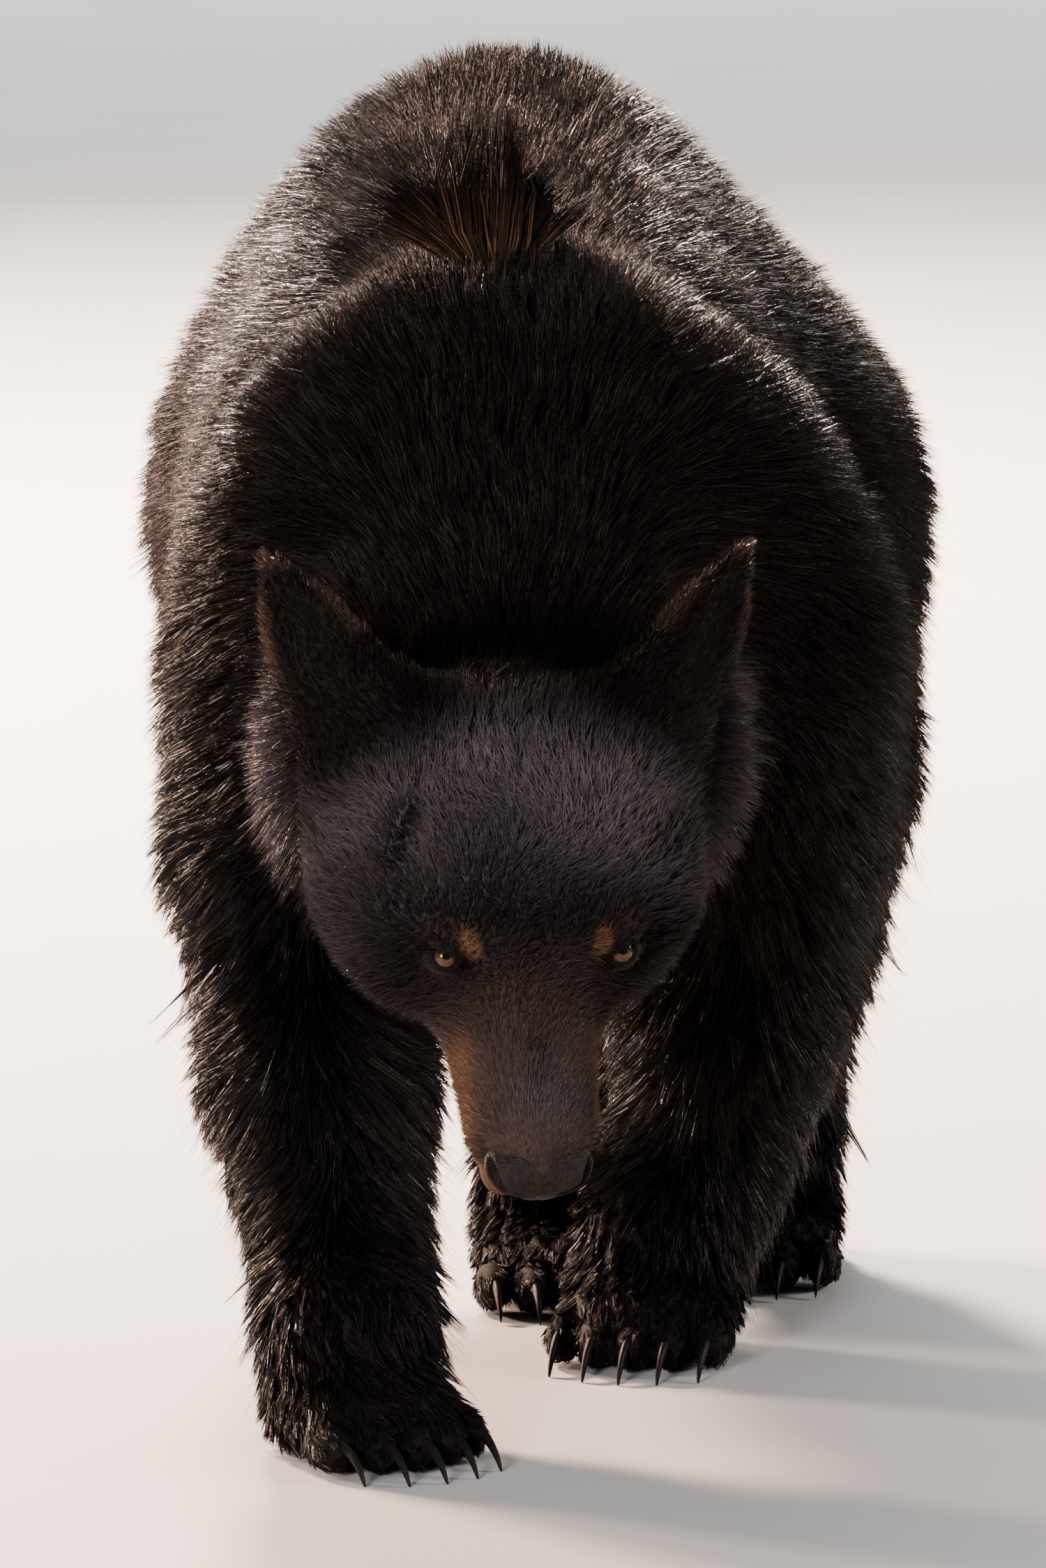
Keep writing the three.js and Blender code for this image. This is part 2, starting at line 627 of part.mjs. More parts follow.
// The legs, from the floor up, then the trunk from the neck back.
const legs = Object.keys(LEGS);
for (const leg of legs) {
  const { kind, side, foot, yaw } = LEGS[leg];
  const stand = pawFrame(side, foot, yaw);
  const claws = toesOf(kind).map((toe) => solidFrom(clawAt(toe, PAW[kind].claw).applyMatrix4(stand)));
  carve(leg.replace("leg", "paw"), COAT, FACET.paw, knife(...LEG_CUTS[leg].paw), { join: claws });
}
for (const leg of legs) carve(`${leg}_lower`, COAT, FACET.lower, knife(...LEG_CUTS[leg].lower));
for (const leg of legs) carve(`${leg}_upper`, COAT, FACET.upper, knife(...LEG_CUTS[leg].upper));
for (const [name, cut] of Object.entries(TRUNK_CUTS)) {
  carve(name, COAT, name === "neck" ? FACET.neck : FACET.trunk, knife(...cut));
}

const span = new THREE.Box3().setFromObject(bear);
const middle = span.getCenter(new THREE.Vector3());
bear.position.set(-middle.x, -middle.y, -span.min.z);

export default bear;
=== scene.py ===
# A life-size still model of an American black bear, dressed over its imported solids.
#
# The skin is the same soft field as the solids, drawn in by the depth of the coat,
# and the coat grows from it in closed tapered tufts that follow the lie of the fur.
# Lengths in the field are millimetres in the bear's own frame: +X its left, +Y nose to tail, +Z up.
import math
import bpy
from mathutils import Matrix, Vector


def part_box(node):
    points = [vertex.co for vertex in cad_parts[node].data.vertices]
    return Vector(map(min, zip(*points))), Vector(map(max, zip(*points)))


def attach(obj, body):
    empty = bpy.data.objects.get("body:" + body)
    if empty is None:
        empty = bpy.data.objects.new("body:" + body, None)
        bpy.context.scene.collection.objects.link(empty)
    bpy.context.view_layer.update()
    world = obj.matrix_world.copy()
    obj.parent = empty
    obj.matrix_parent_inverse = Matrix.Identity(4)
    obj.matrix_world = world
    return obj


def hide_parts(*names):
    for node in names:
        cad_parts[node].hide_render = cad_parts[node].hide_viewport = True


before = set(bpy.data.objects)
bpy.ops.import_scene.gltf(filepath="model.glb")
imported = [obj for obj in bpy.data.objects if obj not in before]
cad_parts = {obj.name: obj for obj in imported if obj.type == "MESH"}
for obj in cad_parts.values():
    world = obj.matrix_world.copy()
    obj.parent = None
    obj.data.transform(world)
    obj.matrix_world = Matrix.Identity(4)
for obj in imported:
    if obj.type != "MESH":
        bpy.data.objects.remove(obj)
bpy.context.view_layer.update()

from copy import copy
from functools import partial

import bmesh
import bpy
import numpy as np
from mathutils import Vector
from mathutils.kdtree import KDTree

RIGHT, LEFT = -1, 1
SIDES = {"right": RIGHT, "left": LEFT}
MM = 0.001

# ---- the bear's measures

HEAD = {"at": (-10, 22, 416), "pitch": 57, "turn": 10}
EYE = {"at": (57, -94, 43), "radius": 11.5, "outward": 24, "upward": 44}
LIDS = {"outward": 22, "upward": 52}
GAZE = {"outward": 8, "upward": 68}
LID_RIM, LID_BARE = (12.0, 6.0), (11.8, 5.0)
EAR = {
    "base": (112, 90, 66), "up": (0.46, 0.80, 0.38), "facing": (0.55, -0.35, 0.73),
    "height": 103, "root": 40, "width": 60, "tip": 13, "thin": 0.42,
}
NOSE = {"at": (0, -216, -6), "size": (33, 19, 21)}
SCAR = ((-75, -8, 76), (-87, -36, 65))
SCAR_REACH = 17
LEGS = {
    "foreleg_right": {
        "side": RIGHT, "kind": "fore", "yaw": 30,
        "top": (-142, 350, 480), "joint": (-154, 280, 365), "ankle": (-116, 150, 92), "foot": (-104, 98),
    },
    "foreleg_left": {
        "side": LEFT, "kind": "fore", "yaw": 12,
        "top": (158, 420, 480), "joint": (160, 455, 350), "ankle": (118, 486, 108), "foot": (86, 440),
    },
    "hindleg_right": {
        "side": RIGHT, "kind": "hind", "yaw": 8,
        "top": (-118, 990, 500), "joint": (-34, 850, 345), "ankle": (26, 738, 100), "foot": (20, 662),
    },
    "hindleg_left": {
        "side": LEFT, "kind": "hind", "yaw": 8,
        "top": (148, 1010, 500), "joint": (182, 905, 330), "ankle": (172, 828, 105), "foot": (166, 752),
    },
}
THICK = {
    "fore": {"top": 95, "joint": 83, "shank": 77, "ankle": 62, "bow": 8},
    "hind": {"top": 128, "joint": 95, "shank": 72, "ankle": 58, "bow": 26},
}
PAW = {
    "fore": {"width": 62, "palm": 54, "heel": 34, "height": 34, "wrist": 62, "toe_reach": 60, "claw": 33},
    "hind": {"width": 57, "palm": 66, "heel": 58, "height": 32, "wrist": 54, "toe_reach": 82, "claw": 27},
}
TOES = 5
TOE = {"spacing": 25.5, "arc": 4.6, "size": (15, 27, 19), "height": 18}

# How deep the coat is over each part: the skin lies this far inside the solids.
DEPTH = {
    "trunk": 24, "neck": 24, "throat": 22, "tail": 14, "thigh": 22, "shank": 18, "ankle": 12,
    "paw": 5, "toe": 3, "crown": 9, "cheek": 12, "brow": 4, "muzzle": 3, "jaw": 4, "nose": 9, "ear": 3,
}

# ---- the soft field


def turn_about(axis, degrees):
    """The matrix of a right-handed turn about x, y or z, given as 0, 1 or 2."""
    c, s = math.cos(math.radians(degrees)), math.sin(math.radians(degrees))
    a, b = (axis + 1) % 3, (axis + 2) % 3
    turn = np.eye(3)
    turn[a, a] = turn[b, b] = c
    turn[a, b], turn[b, a] = -s, s
    return turn


turn_x, turn_y, turn_z = [partial(turn_about, axis) for axis in range(3)]


def unit(v):
    v = np.asarray(v, float)
    return v / np.maximum(np.linalg.norm(v, axis=-1, keepdims=True), 1e-9)


def lengths(v):
    return np.linalg.norm(v, axis=1)


class Frame:
    """A place and three axes, as the columns of a turn."""

    def __init__(self, at=(0, 0, 0), turn=np.eye(3)):
        self.at, self.turn = np.asarray(at, float), np.asarray(turn, float)

    def inside(self, points):
        return (points - self.at) @ self.turn

    def outside(self, points):
        return np.asarray(points, float) @ self.turn.T + self.at

    def then(self, inner):
        return Frame(self.outside(inner.at), self.turn @ inner.turn)


class Mass:
    """A ball or limb: its distance in its own frame, the coat over it and how it melts into the rest."""

    def __init__(self, frame_, distance, reach, depth, blend, group, hollow=False):
        self.frame, self.distance, self.reach = frame_, distance, reach
        self.depth, self.blend, self.group, self.hollow = depth, blend, group, hollow

    def moved(self, outer):
        out = copy(self)
        out.frame = outer.then(self.frame)
        return out


def ball(at, size, depth, blend, group, turn=np.eye(3), hollow=False):
    size = np.asarray(size, float)

    def distance(q):
        scaled = lengths(q / size)
        slope = lengths(q / size**2)
        return scaled * (scaled - 1) / np.maximum(slope, 1e-9)

    return Mass(Frame(at, turn), distance, size.max(), depth, blend, group, hollow)


def limb(start, end, r1, r2, depth, blend, group, thin=1, hollow=False):
    start = np.asarray(start, float)
    along = np.asarray(end, float) - start
    length = np.linalg.norm(along)
    z = along / length
    y = unit(np.cross(z, (0, 0, 1) if abs(z[0]) > 0.99 else (1, 0, 0)))

    def distance(q):
        t = np.clip(q[:, 2] / length, 0, 1)
        off = np.sqrt(q[:, 0] ** 2 + (q[:, 1] / thin) ** 2 + (q[:, 2] - t * length) ** 2)
        return (off - (r1 + (r2 - r1) * t)) * thin

    turn = np.stack([np.cross(y, z), y, z], axis=1)
    return Mass(Frame(start, turn), distance, length + max(r1, r2), depth, blend, group, hollow)


def smooth_min(a, b, reach):
    near = np.maximum(reach - np.abs(a - b), 0) / reach
    return np.minimum(a, b) - near * near * reach / 4


FAR = 1e3
BLOCK_MARGIN = 70  # how far past a block's own reach a mass still counts there
HOLLOW_MARGIN = 60  # how far past its own reach a hollow still counts


class Field:
    """Signed distance to the coat's outside (coat 0) or to the skin (coat 1), in millimetres."""

    def __init__(self, masses):
        self.solids = [m for m in masses if not m.hollow]
        self.hollows = [m for m in masses if m.hollow]
        self.groups = sorted({m.group for m in self.solids})

    def near(self, centre, radius):
        """The same field with only the masses that count within radius of the centre."""
        def close(m):
            return np.linalg.norm(m.frame.at - centre) - m.reach < radius + m.blend + m.depth + BLOCK_MARGIN

        part = Field([])
        part.solids = [m for m in self.solids if close(m)]
        part.hollows = [m for m in self.hollows if close(m)]
        part.groups = self.groups
        return part

    def __call__(self, points, coat=0):
        d = np.full(len(points), FAR)
        for m in self.solids:
            away = lengths(points - m.frame.at) - m.reach
            at = np.flatnonzero(away < d + m.blend)
            if len(at):
                here = m.distance(m.frame.inside(points[at])) + coat * m.depth
                d[at] = smooth_min(d[at], here, m.blend)
        for m in self.hollows:
            away = lengths(points - m.frame.at) - m.reach
            at = np.flatnonzero(away < m.blend + HOLLOW_MARGIN)
            if len(at):
                here = m.distance(m.frame.inside(points[at])) - coat * m.depth
                d[at] = -smooth_min(-d[at], here, m.blend)
        return d

    def slope(self, points, coat=0, step=0.4):
        """The distance at each point and the way it grows."""
        here = self(points, coat)
        g = np.stack([(self(points + off, coat) - here) / step for off in np.eye(3) * step], 1)
        return here, g

    def by_group(self, points, coat=1):
        """The nearest distance to each group of masses, one column for each."""
        out = np.full((len(points), len(self.groups)), FAR)
        for m in self.solids:
            column = self.groups.index(m.group)
            here = m.distance(m.frame.inside(points)) + coat * m.depth
            out[:, column] = np.minimum(out[:, column], here)
        return out


# ---- the bear's masses

HEAD_FRAME = Frame(HEAD["at"], turn_z(HEAD["turn"]) @ turn_x(HEAD["pitch"]))


def both(make):
    """The masses of both sides, the right one's first."""
    return [m for s in (RIGHT, LEFT) for m in make(s)]


def on_side(s, point):
    """A place or direction given for the left, on either side."""
    return np.array((s * point[0], point[1], point[2]), float)


def trunk_masses():
    d = DEPTH["trunk"]
    return [
        ball((2, 420, 520), (190, 210, 225), d, 90, "trunk"),
        ball((-12, 430, 640), (122, 150, 110), d, 70, "trunk"),
        ball((-12, 690, 500), (232, 262, 236), d, 60, "trunk"),
        ball((-14, 700, 610), (172, 290, 182), d, 80, "trunk"),
        ball((12, 890, 515), (262, 236, 212), d, 60, "trunk"),
        ball((-16, 890, 606), (176, 240, 206), d, 80, "trunk"),
        ball((-14, 1030, 604), (182, 220, 222), d, 80, "trunk"),
        *both(lambda s: [ball((4 + s * 142, 385 + s * 25, 500), (96, 140, 180), d, 70, "trunk")]),
        *both(lambda s: [ball((6 + s * 132, 1000, 492), (132, 156, 186), d, 80, "trunk")]),
    ]


def neck_masses():
    return [
        ball((-15, 152, 446), (167, 88, 142), DEPTH["neck"], 50, "neck"),
        ball((-12, 120, 502), (112, 62, 72), DEPTH["neck"], 44, "neck"),
        limb((-10, 205, 475), (-8, 360, 565), 150, 186, DEPTH["neck"], 60, "neck"),
        limb((-10, 120, 370), (-8, 300, 430), 88, 120, DEPTH["throat"], 50, "neck"),
    ]


def tail_masses():
    return [limb((-4, 1222, 655), (0, 1280, 566), 36, 22, DEPTH["tail"], 34, "tail")]


def look_frame(s, look=EYE):
    """An eye's frame: -y is the line of sight, x runs across the lids and z up between them."""
    return Frame(on_side(s, EYE["at"]), turn_z(s * look["outward"]) @ turn_x(-look["upward"]))


def ear_frame(s):
    """An ear's frame: z runs up the ear and x across it."""
    up = unit(on_side(s, EAR["up"]))
    across = unit(np.cross(up, on_side(s, EAR["facing"])))
    return Frame(on_side(s, EAR["base"]), np.stack([across, np.cross(up, across), up], 1))


def ear_masses(s):
    d, h, w, thin = DEPTH["ear"], EAR["height"], EAR["width"], EAR["thin"]
    word = "ear_left" if s == LEFT else "ear_right"
    lobes = [
        limb((0, 8, -EAR["root"]), (s * 3, 3, h * 0.34), w, w * 0.48, d, 26, word, thin=thin),
        limb((s * 3, 3, h * 0.28), (s * 2, 0, h - EAR["tip"]), w * 0.5, EAR["tip"], d, 14, word, thin=0.5),
        limb((s * 2, -w * 0.44, 8), (s * 2, -w * 0.2, h * 0.74), w * 0.38, w * 0.15, 1.5, 6, word,
             thin=0.72, hollow=True),
    ]
    return [m.moved(ear_frame(s)) for m in lobes]


def head_masses():
    return [
        ball((0, 0, 0), (125, 118, 103), DEPTH["crown"], 18, "head"),
        ball((0, -40, 30), (82, 70, 60), DEPTH["crown"], 36, "head"),
        *both(lambda s: [ball((s * 58, -8, -26), (65, 86, 80), DEPTH["cheek"], 40, "head")]),
        *both(lambda s: [ball((s * 42, -82, 54), (26, 18, 13), DEPTH["brow"], 22, "head")]),
        limb((0, -78, 6), (0, -186, -6), 50, 38, DEPTH["muzzle"], 30, "muzzle"),
        *both(lambda s: [limb((s * 30, -84, -26), (s * 27, -190, -25), 22, 16, DEPTH["jaw"], 24, "muzzle")]),
        limb((0, -60, -50), (0, -182, -40), 38, 22, DEPTH["jaw"], 30, "muzzle"),
        ball(NOSE["at"], NOSE["size"], DEPTH["nose"], 14, "muzzle"),
        *both(ear_masses),
    ]


def leg_masses(name):
    leg = LEGS[name]
    t = THICK[leg["kind"]]
    joint, ankle = np.array(leg["joint"], float), np.array(leg["ankle"], float)
    shank = (joint + ankle) / 2 + (0, t["bow"], 0)
    return [
        limb(leg["top"], joint, t["top"], t["joint"], DEPTH["thigh"], 60, name),
        limb(joint, shank, t["joint"], t["shank"], DEPTH["shank"], 40, name),
        limb(shank, ankle, t["shank"], t["ankle"], DEPTH["ankle"], 36, name),
        *[m.moved(paw_frame(name)) for m in paw_masses(leg["kind"], name.replace("leg", "paw"))],
    ]


def paw_frame(name):
    leg = LEGS[name]
    return Frame((*leg["foot"], 0), turn_z(-leg["side"] * leg["yaw"]))


def toes_of(kind):
    steps = [i - (TOES - 1) / 2 for i in range(TOES)]
    return [(k * TOE["spacing"], -PAW[kind]["toe_reach"] + k * k * TOE["arc"], TOE["height"]) for k in steps]


def paw_masses(kind, group):
    p = PAW[kind]
    h = p["height"]
    return [
        ball((0, -14, h - 4), (p["width"], p["palm"], h), DEPTH["paw"], 26, group),
        ball((0, p["heel"] * 0.9, h - 4), (p["width"] * 0.78, p["heel"] * 1.25, h), DEPTH["paw"], 26, group),
        limb((0, p["heel"] * 0.6, h), (0, p["heel"] * 0.7, h * 2.4), p["wrist"] * 0.92, p["wrist"],
             DEPTH["ankle"], 30, group),
        *[ball(at, TOE["size"], DEPTH["toe"], 8, group) for at in toes_of(kind)],
    ]


def face_masses():
    """What the skin adds to the solids' face: lids, nostril wings, lips and folds, in the head's frame."""
    masses = []
    for s in (RIGHT, LEFT):
        look = look_frame(s, LIDS)
        slant = turn_y(-s * 11)
        masses += [
            ball((0, 0.5, 1.0), (15.0, 13.0, 12.6), 0, 8, "head").moved(look),
            ball((s * -1.0, -13.4, 1.4), (12.0, 6.6, 4.5), 0, 1.6, "head", slant, True).moved(look),
            ball((s * 1, -12.5, 8.3), (13, 5, 3.8), 0, 4, "head", slant).moved(look),
            ball((s * -11.5, -12.5, -1.6), (5, 4, 2), 0, 2, "head", hollow=True).moved(look),
        ]
    masses += [
        limb((0, -100, 62), (0, -20, 96), 3.5, 2.5, 0, 9, "head", hollow=True),
        limb((0, -204, 34), (0, -150, 40), 3.0, 4.0, 0, 10, "muzzle", hollow=True),
        ball((0, -203, 1), (34, 20, 20), 3, 10, "muzzle"),
        limb((0, -200, 10), (0, -225, 2), 14, 11, 3, 10, "muzzle"),
        limb((-18, -211, -39), (18, -211, -39), 16, 16, 2, 12, "muzzle"),
        limb((-28, -208, -56), (28, -208, -56), 1.8, 1.8, 0, 3, "muzzle", hollow=True),
        limb(*SCAR, 4.5, 4.0, 0, 5, "head", hollow=True),
    ]
    masses += both(lambda s: [
        limb((s * 28, -208, -56), (s * 44, -120, -46), 1.8, 1.8, 0, 4, "muzzle", hollow=True),
        limb((s * 44, -120, -46), (s * 56, -86, -46), 1.8, 1, 0, 4, "muzzle", hollow=True),
    ])
    return masses


OUTSIDE = Field([
    *trunk_masses(),
    *neck_masses(),
    *tail_masses(),
    *[m for name in LEGS for m in leg_masses(name)],
    *[m.moved(HEAD_FRAME) for m in head_masses()],
])
SKIN = Field([*OUTSIDE.solids, *OUTSIDE.hollows, *[m.moved(HEAD_FRAME) for m in face_masses()]])

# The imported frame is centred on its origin. The left eye's solid says where the bear's own frame lies in it.
eye_low, eye_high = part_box("eye_left")
SHIFT = (np.array(eye_low) + np.array(eye_high)) / 2 / MM - HEAD_FRAME.outside(np.array(EYE["at"], float))
SHIFT[2] = 0


def packed(points):
    """Points of the bear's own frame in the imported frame, in metres."""
    return (np.asarray(points) + SHIFT) * MM


# ---- the skin's mesh

CELL = 6.0
BLOCK = 20
SKIN_BOX = ((-300, -225, -2 * CELL), (320, 1330, 860))
LEAST_SLOPE = 0.2  # keeps a Newton step short where the field is nearly flat


def grid_values(low, counts):
    """The skin's field on a grid, worked out only in the blocks that the surface can cross."""
    values = np.empty(counts)
    half = BLOCK * CELL * math.sqrt(3) / 2
    clear = half * 2.2 + 40
    for i in range(0, counts[0], BLOCK):
        for j in range(0, counts[1], BLOCK):
            for k in range(0, counts[2], BLOCK):
                end = [min(a + BLOCK, n) for a, n in zip((i, j, k), counts)]
                centre = low + (np.array([i, j, k]) + BLOCK / 2) * CELL
                near = SKIN.near(centre, half)
                middle = SKIN(centre[None], 1)[0]
                block = np.s_[i:end[0], j:end[1], k:end[2]]
                if abs(middle) > clear and centre[2] > half:
                    values[block] = middle
                    continue
                axes = [low[a] + CELL * np.arange(s, e) for a, (s, e) in enumerate(zip((i, j, k), end))]
                points = np.stack(np.meshgrid(*axes, indexing="ij"), -1).reshape(-1, 3)
                d = np.maximum(near(points, 1), -points[:, 2])
                values[block] = d.reshape([e - s for s, e in zip((i, j, k), end)])
    return values


def fill_pinches(values, cell):
    """Takes a third corner in wherever only two opposite corners of a grid square are inside."""
    found = True
    while found:
        found = False
        for a, b in ((0, 1), (1, 2), (2, 0)):
            v = np.moveaxis(values, (a, b), (0, 1))
            p, q, r, s = v[:-1, :-1] < 0, v[1:, :-1] < 0, v[:-1, 1:] < 0, v[1:, 1:] < 0
            pinch = (p == s) & (q == r) & (p != q)
            if pinch.any():
                found = True
                v[1:, :-1][pinch & p] = -cell / 50
                v[:-1, :-1][pinch & q] = -cell / 50


def surface_nets(values, low, cell):
    """One vertex in each grid cell that the surface crosses, and a quad round each edge that it crosses."""
    counts = values.shape
    flat = np.arange(np.prod(counts)).reshape(counts)
    strides = (counts[1] * counts[2], counts[2], 1)
    total = np.zeros((3, values.size))
    number = np.zeros(values.size)
    quads = []
    for axis in range(3):
        a = np.moveaxis(values, axis, 0)[:-1]
        b = np.moveaxis(values, axis, 0)[1:]
        index = np.moveaxis(flat, axis, 0)[:-1]
        cross = (a < 0) != (b < 0)
        edge, t, inner = index[cross], (a / np.where(a == b, 1, a - b))[cross], (a < 0)[cross]
        at = np.stack(np.unravel_index(edge, counts)).astype(float)
        at[axis] += t
        u, v = strides[(axis + 1) % 3], strides[(axis + 2) % 3]
        for back in (0, u, v, u + v):
            for k in range(3):
                total[k] += np.bincount(edge - back, at[k], values.size)
            number += np.bincount(edge - back, minlength=values.size)
        ring = np.stack([edge, edge - u, edge - u - v, edge - v], 1)
        ring[~inner] = ring[~inner][:, ::-1]
        quads.append(ring)
    used = np.flatnonzero(number)
    vertex_of = np.full(values.size, -1)
    vertex_of[used] = np.arange(len(used))
    vertices = (total[:, used] / number[used]).T * cell + low
    return vertices, vertex_of[np.concatenate(quads)]


def onto(points, leash, rounds=2):
    """Newton steps onto the skin, each point kept close to where it began."""
    start = points.copy()
    for _ in range(rounds):
        d, g = SKIN.slope(points, 1)
        points = points - g * (d / np.maximum((g**2).sum(1), LEAST_SLOPE))[:, None]
    travel = points - start
    length = lengths(travel)
    points = start + travel * np.minimum(1, leash / np.maximum(length, 1e-9))[:, None]
    points[:, 2] = np.maximum(points[:, 2], 0)
    return points


def finer(mesh_, inside, leash):
    """Halves every face whose middle lies inside, and lays the new vertices on the skin."""
    bm = bmesh.new()
    bm.from_mesh(mesh_)
    centres = np.array([f.calc_center_median() for f in bm.faces])
    chosen = inside(centres)
    bm.faces.ensure_lookup_table()
    edges = {e for i in np.flatnonzero(chosen) for e in bm.faces[i].edges}
    old = len(bm.verts)
    bmesh.ops.subdivide_edges(bm, edges=list(edges), cuts=1, use_grid_fill=True)
    bm.to_mesh(mesh_)
    bm.free()
    points = read(mesh_.vertices, "co")
    moved = np.zeros(len(points), bool)
    moved[old:] = True
    moved |= inside(points)
    high = moved & (points[:, 2] > 1)
    points[high] = onto(points[high], leash)
    mesh_.vertices.foreach_set("co", points.ravel())
    mesh_.update()


def read(items, name, width=3):
    """One property of every vertex or face, a row for each."""
    out = np.empty(len(items) * width)
    items.foreach_get(name, out)
    return out.reshape(-1, width)


def eye_distance(q):
    """How far each point of the head's frame is from the nearer eye."""
    return np.minimum(*[lengths(q - on_side(s, EYE["at"])) for s in (RIGHT, LEFT)])


def make_skin():
    """The skin at CELL, halved over the head and again about the eyes and mouth."""
    low, high = np.array(SKIN_BOX, float)
    counts = np.ceil((high - low) / CELL).astype(int) + 1
    values = grid_values(low, counts)
    fill_pinches(values, CELL)
    vertices, quads = surface_nets(values, low, CELL)
    free = vertices[:, 2] > 1
    vertices[free] = onto(vertices[free], CELL / 2)
    vertices[:, 2] = np.maximum(vertices[:, 2], 0)
    mesh_ = bpy.data.meshes.new("skin")
    mesh_.from_pydata(vertices.tolist(), [], quads.tolist())
    mesh_.update()

    def in_head(points):
        q = HEAD_FRAME.inside(points)
        return (np.abs(q[:, 0]) < 125) & (q[:, 1] < 30) & (q[:, 1] > -260)

    def in_face(points):
        q = HEAD_FRAME.inside(points)
        mouth = (q[:, 1] < -100) & (np.abs(q[:, 2] + 35) < 16)
        return (eye_distance(q) < 26) | mouth

    finer(mesh_, in_head, 2)
    finer(mesh_, in_face, 1.5)
    return mesh_


skin_mesh = make_skin()

# ---- meshes and marks


def mesh_from(name, vertices, faces):
    """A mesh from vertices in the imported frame's metres and faces with equally many corners."""
    faces = np.asarray(faces)
    mesh_ = bpy.data.meshes.new(name)
    mesh_.vertices.add(len(vertices))
    mesh_.vertices.foreach_set("co", np.asarray(vertices, float).ravel())
    mesh_.loops.add(faces.size)
    mesh_.loops.foreach_set("vertex_index", faces.ravel().astype(np.int32))
    mesh_.polygons.add(len(faces))
    mesh_.polygons.foreach_set("loop_start", np.arange(0, faces.size, faces.shape[1], dtype=np.int32))
    mesh_.update(calc_edges=True)
    mesh_.shade_smooth()
    return mesh_


def mark(mesh_, name, values):
    """A value at each vertex, for the material to read."""
    mesh_.attributes.new(name, "FLOAT", "POINT").data.foreach_set("value", np.asarray(values, np.float32))


def tube_faces(rings, sides, first=0):
    """The triangles between rings of vertices that follow each other from the vertex first on."""
    faces = []
    for a in range(first, first + (rings - 1) * sides):
        b = a + 1 if (a + 1 - first) % sides else a + 1 - sides
        faces += [(a, a + sides, b + sides), (a, b + sides, b)]
    return faces


def add_object(name, data):
    obj = bpy.data.objects.new(name, data)
    bpy.context.collection.objects.link(obj)
    return obj


def piece(name, mesh_, nodes=()):
    """A piece of the bear, hung from the root, in place of the solids named."""
    obj = add_object(name, mesh_)
    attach(obj, "root")
    if nodes:
        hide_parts(*nodes)


def ease(x, low, high):
    """0 up to low and 1 from high on, with a smooth rise between them."""
    t = np.clip((x - low) / (high - low), 0, 1)
    return t * t * (3 - 2 * t)


def band(x, low, full, falling, high):
    """1 from full to falling, and 0 below low and above high."""
    return ease(x, low, full) * (1 - ease(x, falling, high))


def near_line(q, start, end, radius):
    """1 on the line from start to end, falling to 0 at radius."""
    start, end = np.array(start, float), np.array(end, float)
    along = end - start
    t = np.clip((q - start) @ along / (along @ along), 0, 1)
    return 1 - ease(lengths(q - start - t[:, None] * along), radius * 0.35, radius)


def spot_at(x, y, centre, size, lean):
    """1 in the middle of a slanting oval, seen from above the face, falling to 0 at its edge."""
    u, v = x - centre[0], y - centre[1]
    c, s = math.cos(math.radians(lean)), math.sin(math.radians(lean))
    return 1 - ease(np.hypot((u * c - v * s) / size[0], (u * s + v * c) / size[1]), 0.45, 1.0)


TAN_SPOT = {"centre": (43, -95), "size": (7.8, 11.5), "lean": 32}
TAN_ARCH = {"centre": (60, -84), "size": (15, 6), "lean": -10}


def tan_and_rim_light_marks(points):
    """Where the coat is tan: a spot above each eye, the edges of the muzzle and the lips, with a little of the
    ears' painted rim light.
    """
    q = HEAD_FRAME.inside(points)
    x, y, z = np.abs(q[:, 0]), q[:, 1], q[:, 2]
    top = (z > 15).astype(float)
    spot = np.maximum(0.8 * spot_at(x, y, **TAN_SPOT), 0.1 * spot_at(x, y, **TAN_ARCH)) * top
    along = band(-y, 120, 150, 192, 210)
    side = 0.7 * ease(x, 33, 43) * band(z, -58, -36, 2, 22)
    lip = 0.5 * ease(-y, 150, 200) * band(z, -62, -46, -34, -22)
    return np.clip(spot + along * side + lip + 0.22 * ear_rim_light(q), 0, 1)


def ear_rim_light(q):
    """Where the ears get painted rim light: 1 at the edges and the tip of each ear, 0 in the middle of its
    back and hollow.
    """
    rim = np.zeros(len(q))
    for s in (RIGHT, LEFT):
        e = ear_frame(s).inside(q)
        up = e[:, 2] / EAR["height"]
        half = EAR["width"] * (0.9 - 0.75 * np.clip(up, 0, 1))
        edge = ease(np.abs(e[:, 0]) / np.maximum(half, 8), 0.5, 0.95) + ease(up, 0.75, 1)
        rim = np.maximum(rim, np.clip(edge, 0, 1) * ease(up, 0.08, 0.3) * (np.abs(e[:, 1]) < 40))
    return rim


def brown_and_rim_light_marks(points):
    """Where the coat is brown: all of the muzzle, fading out towards the brow, and the rims of the ears, whose
    brown is a painted rim light.
    """
    q = HEAD_FRAME.inside(points)
    bridge = ease(-q[:, 1], 84, 140)
    chin = 1 - 0.5 * ease(-q[:, 2], 50, 80)
    near = 1 - ease(np.abs(q[:, 0]), 60, 85)
    low = ease(q[:, 2], -125, -95)
    line = 1 - 0.6 * near_line(q, (3, -160, 38), (3, -198, 27), 11)
    return np.clip(bridge * chin * near * low * line + ear_rim_light(q), 0, 1)


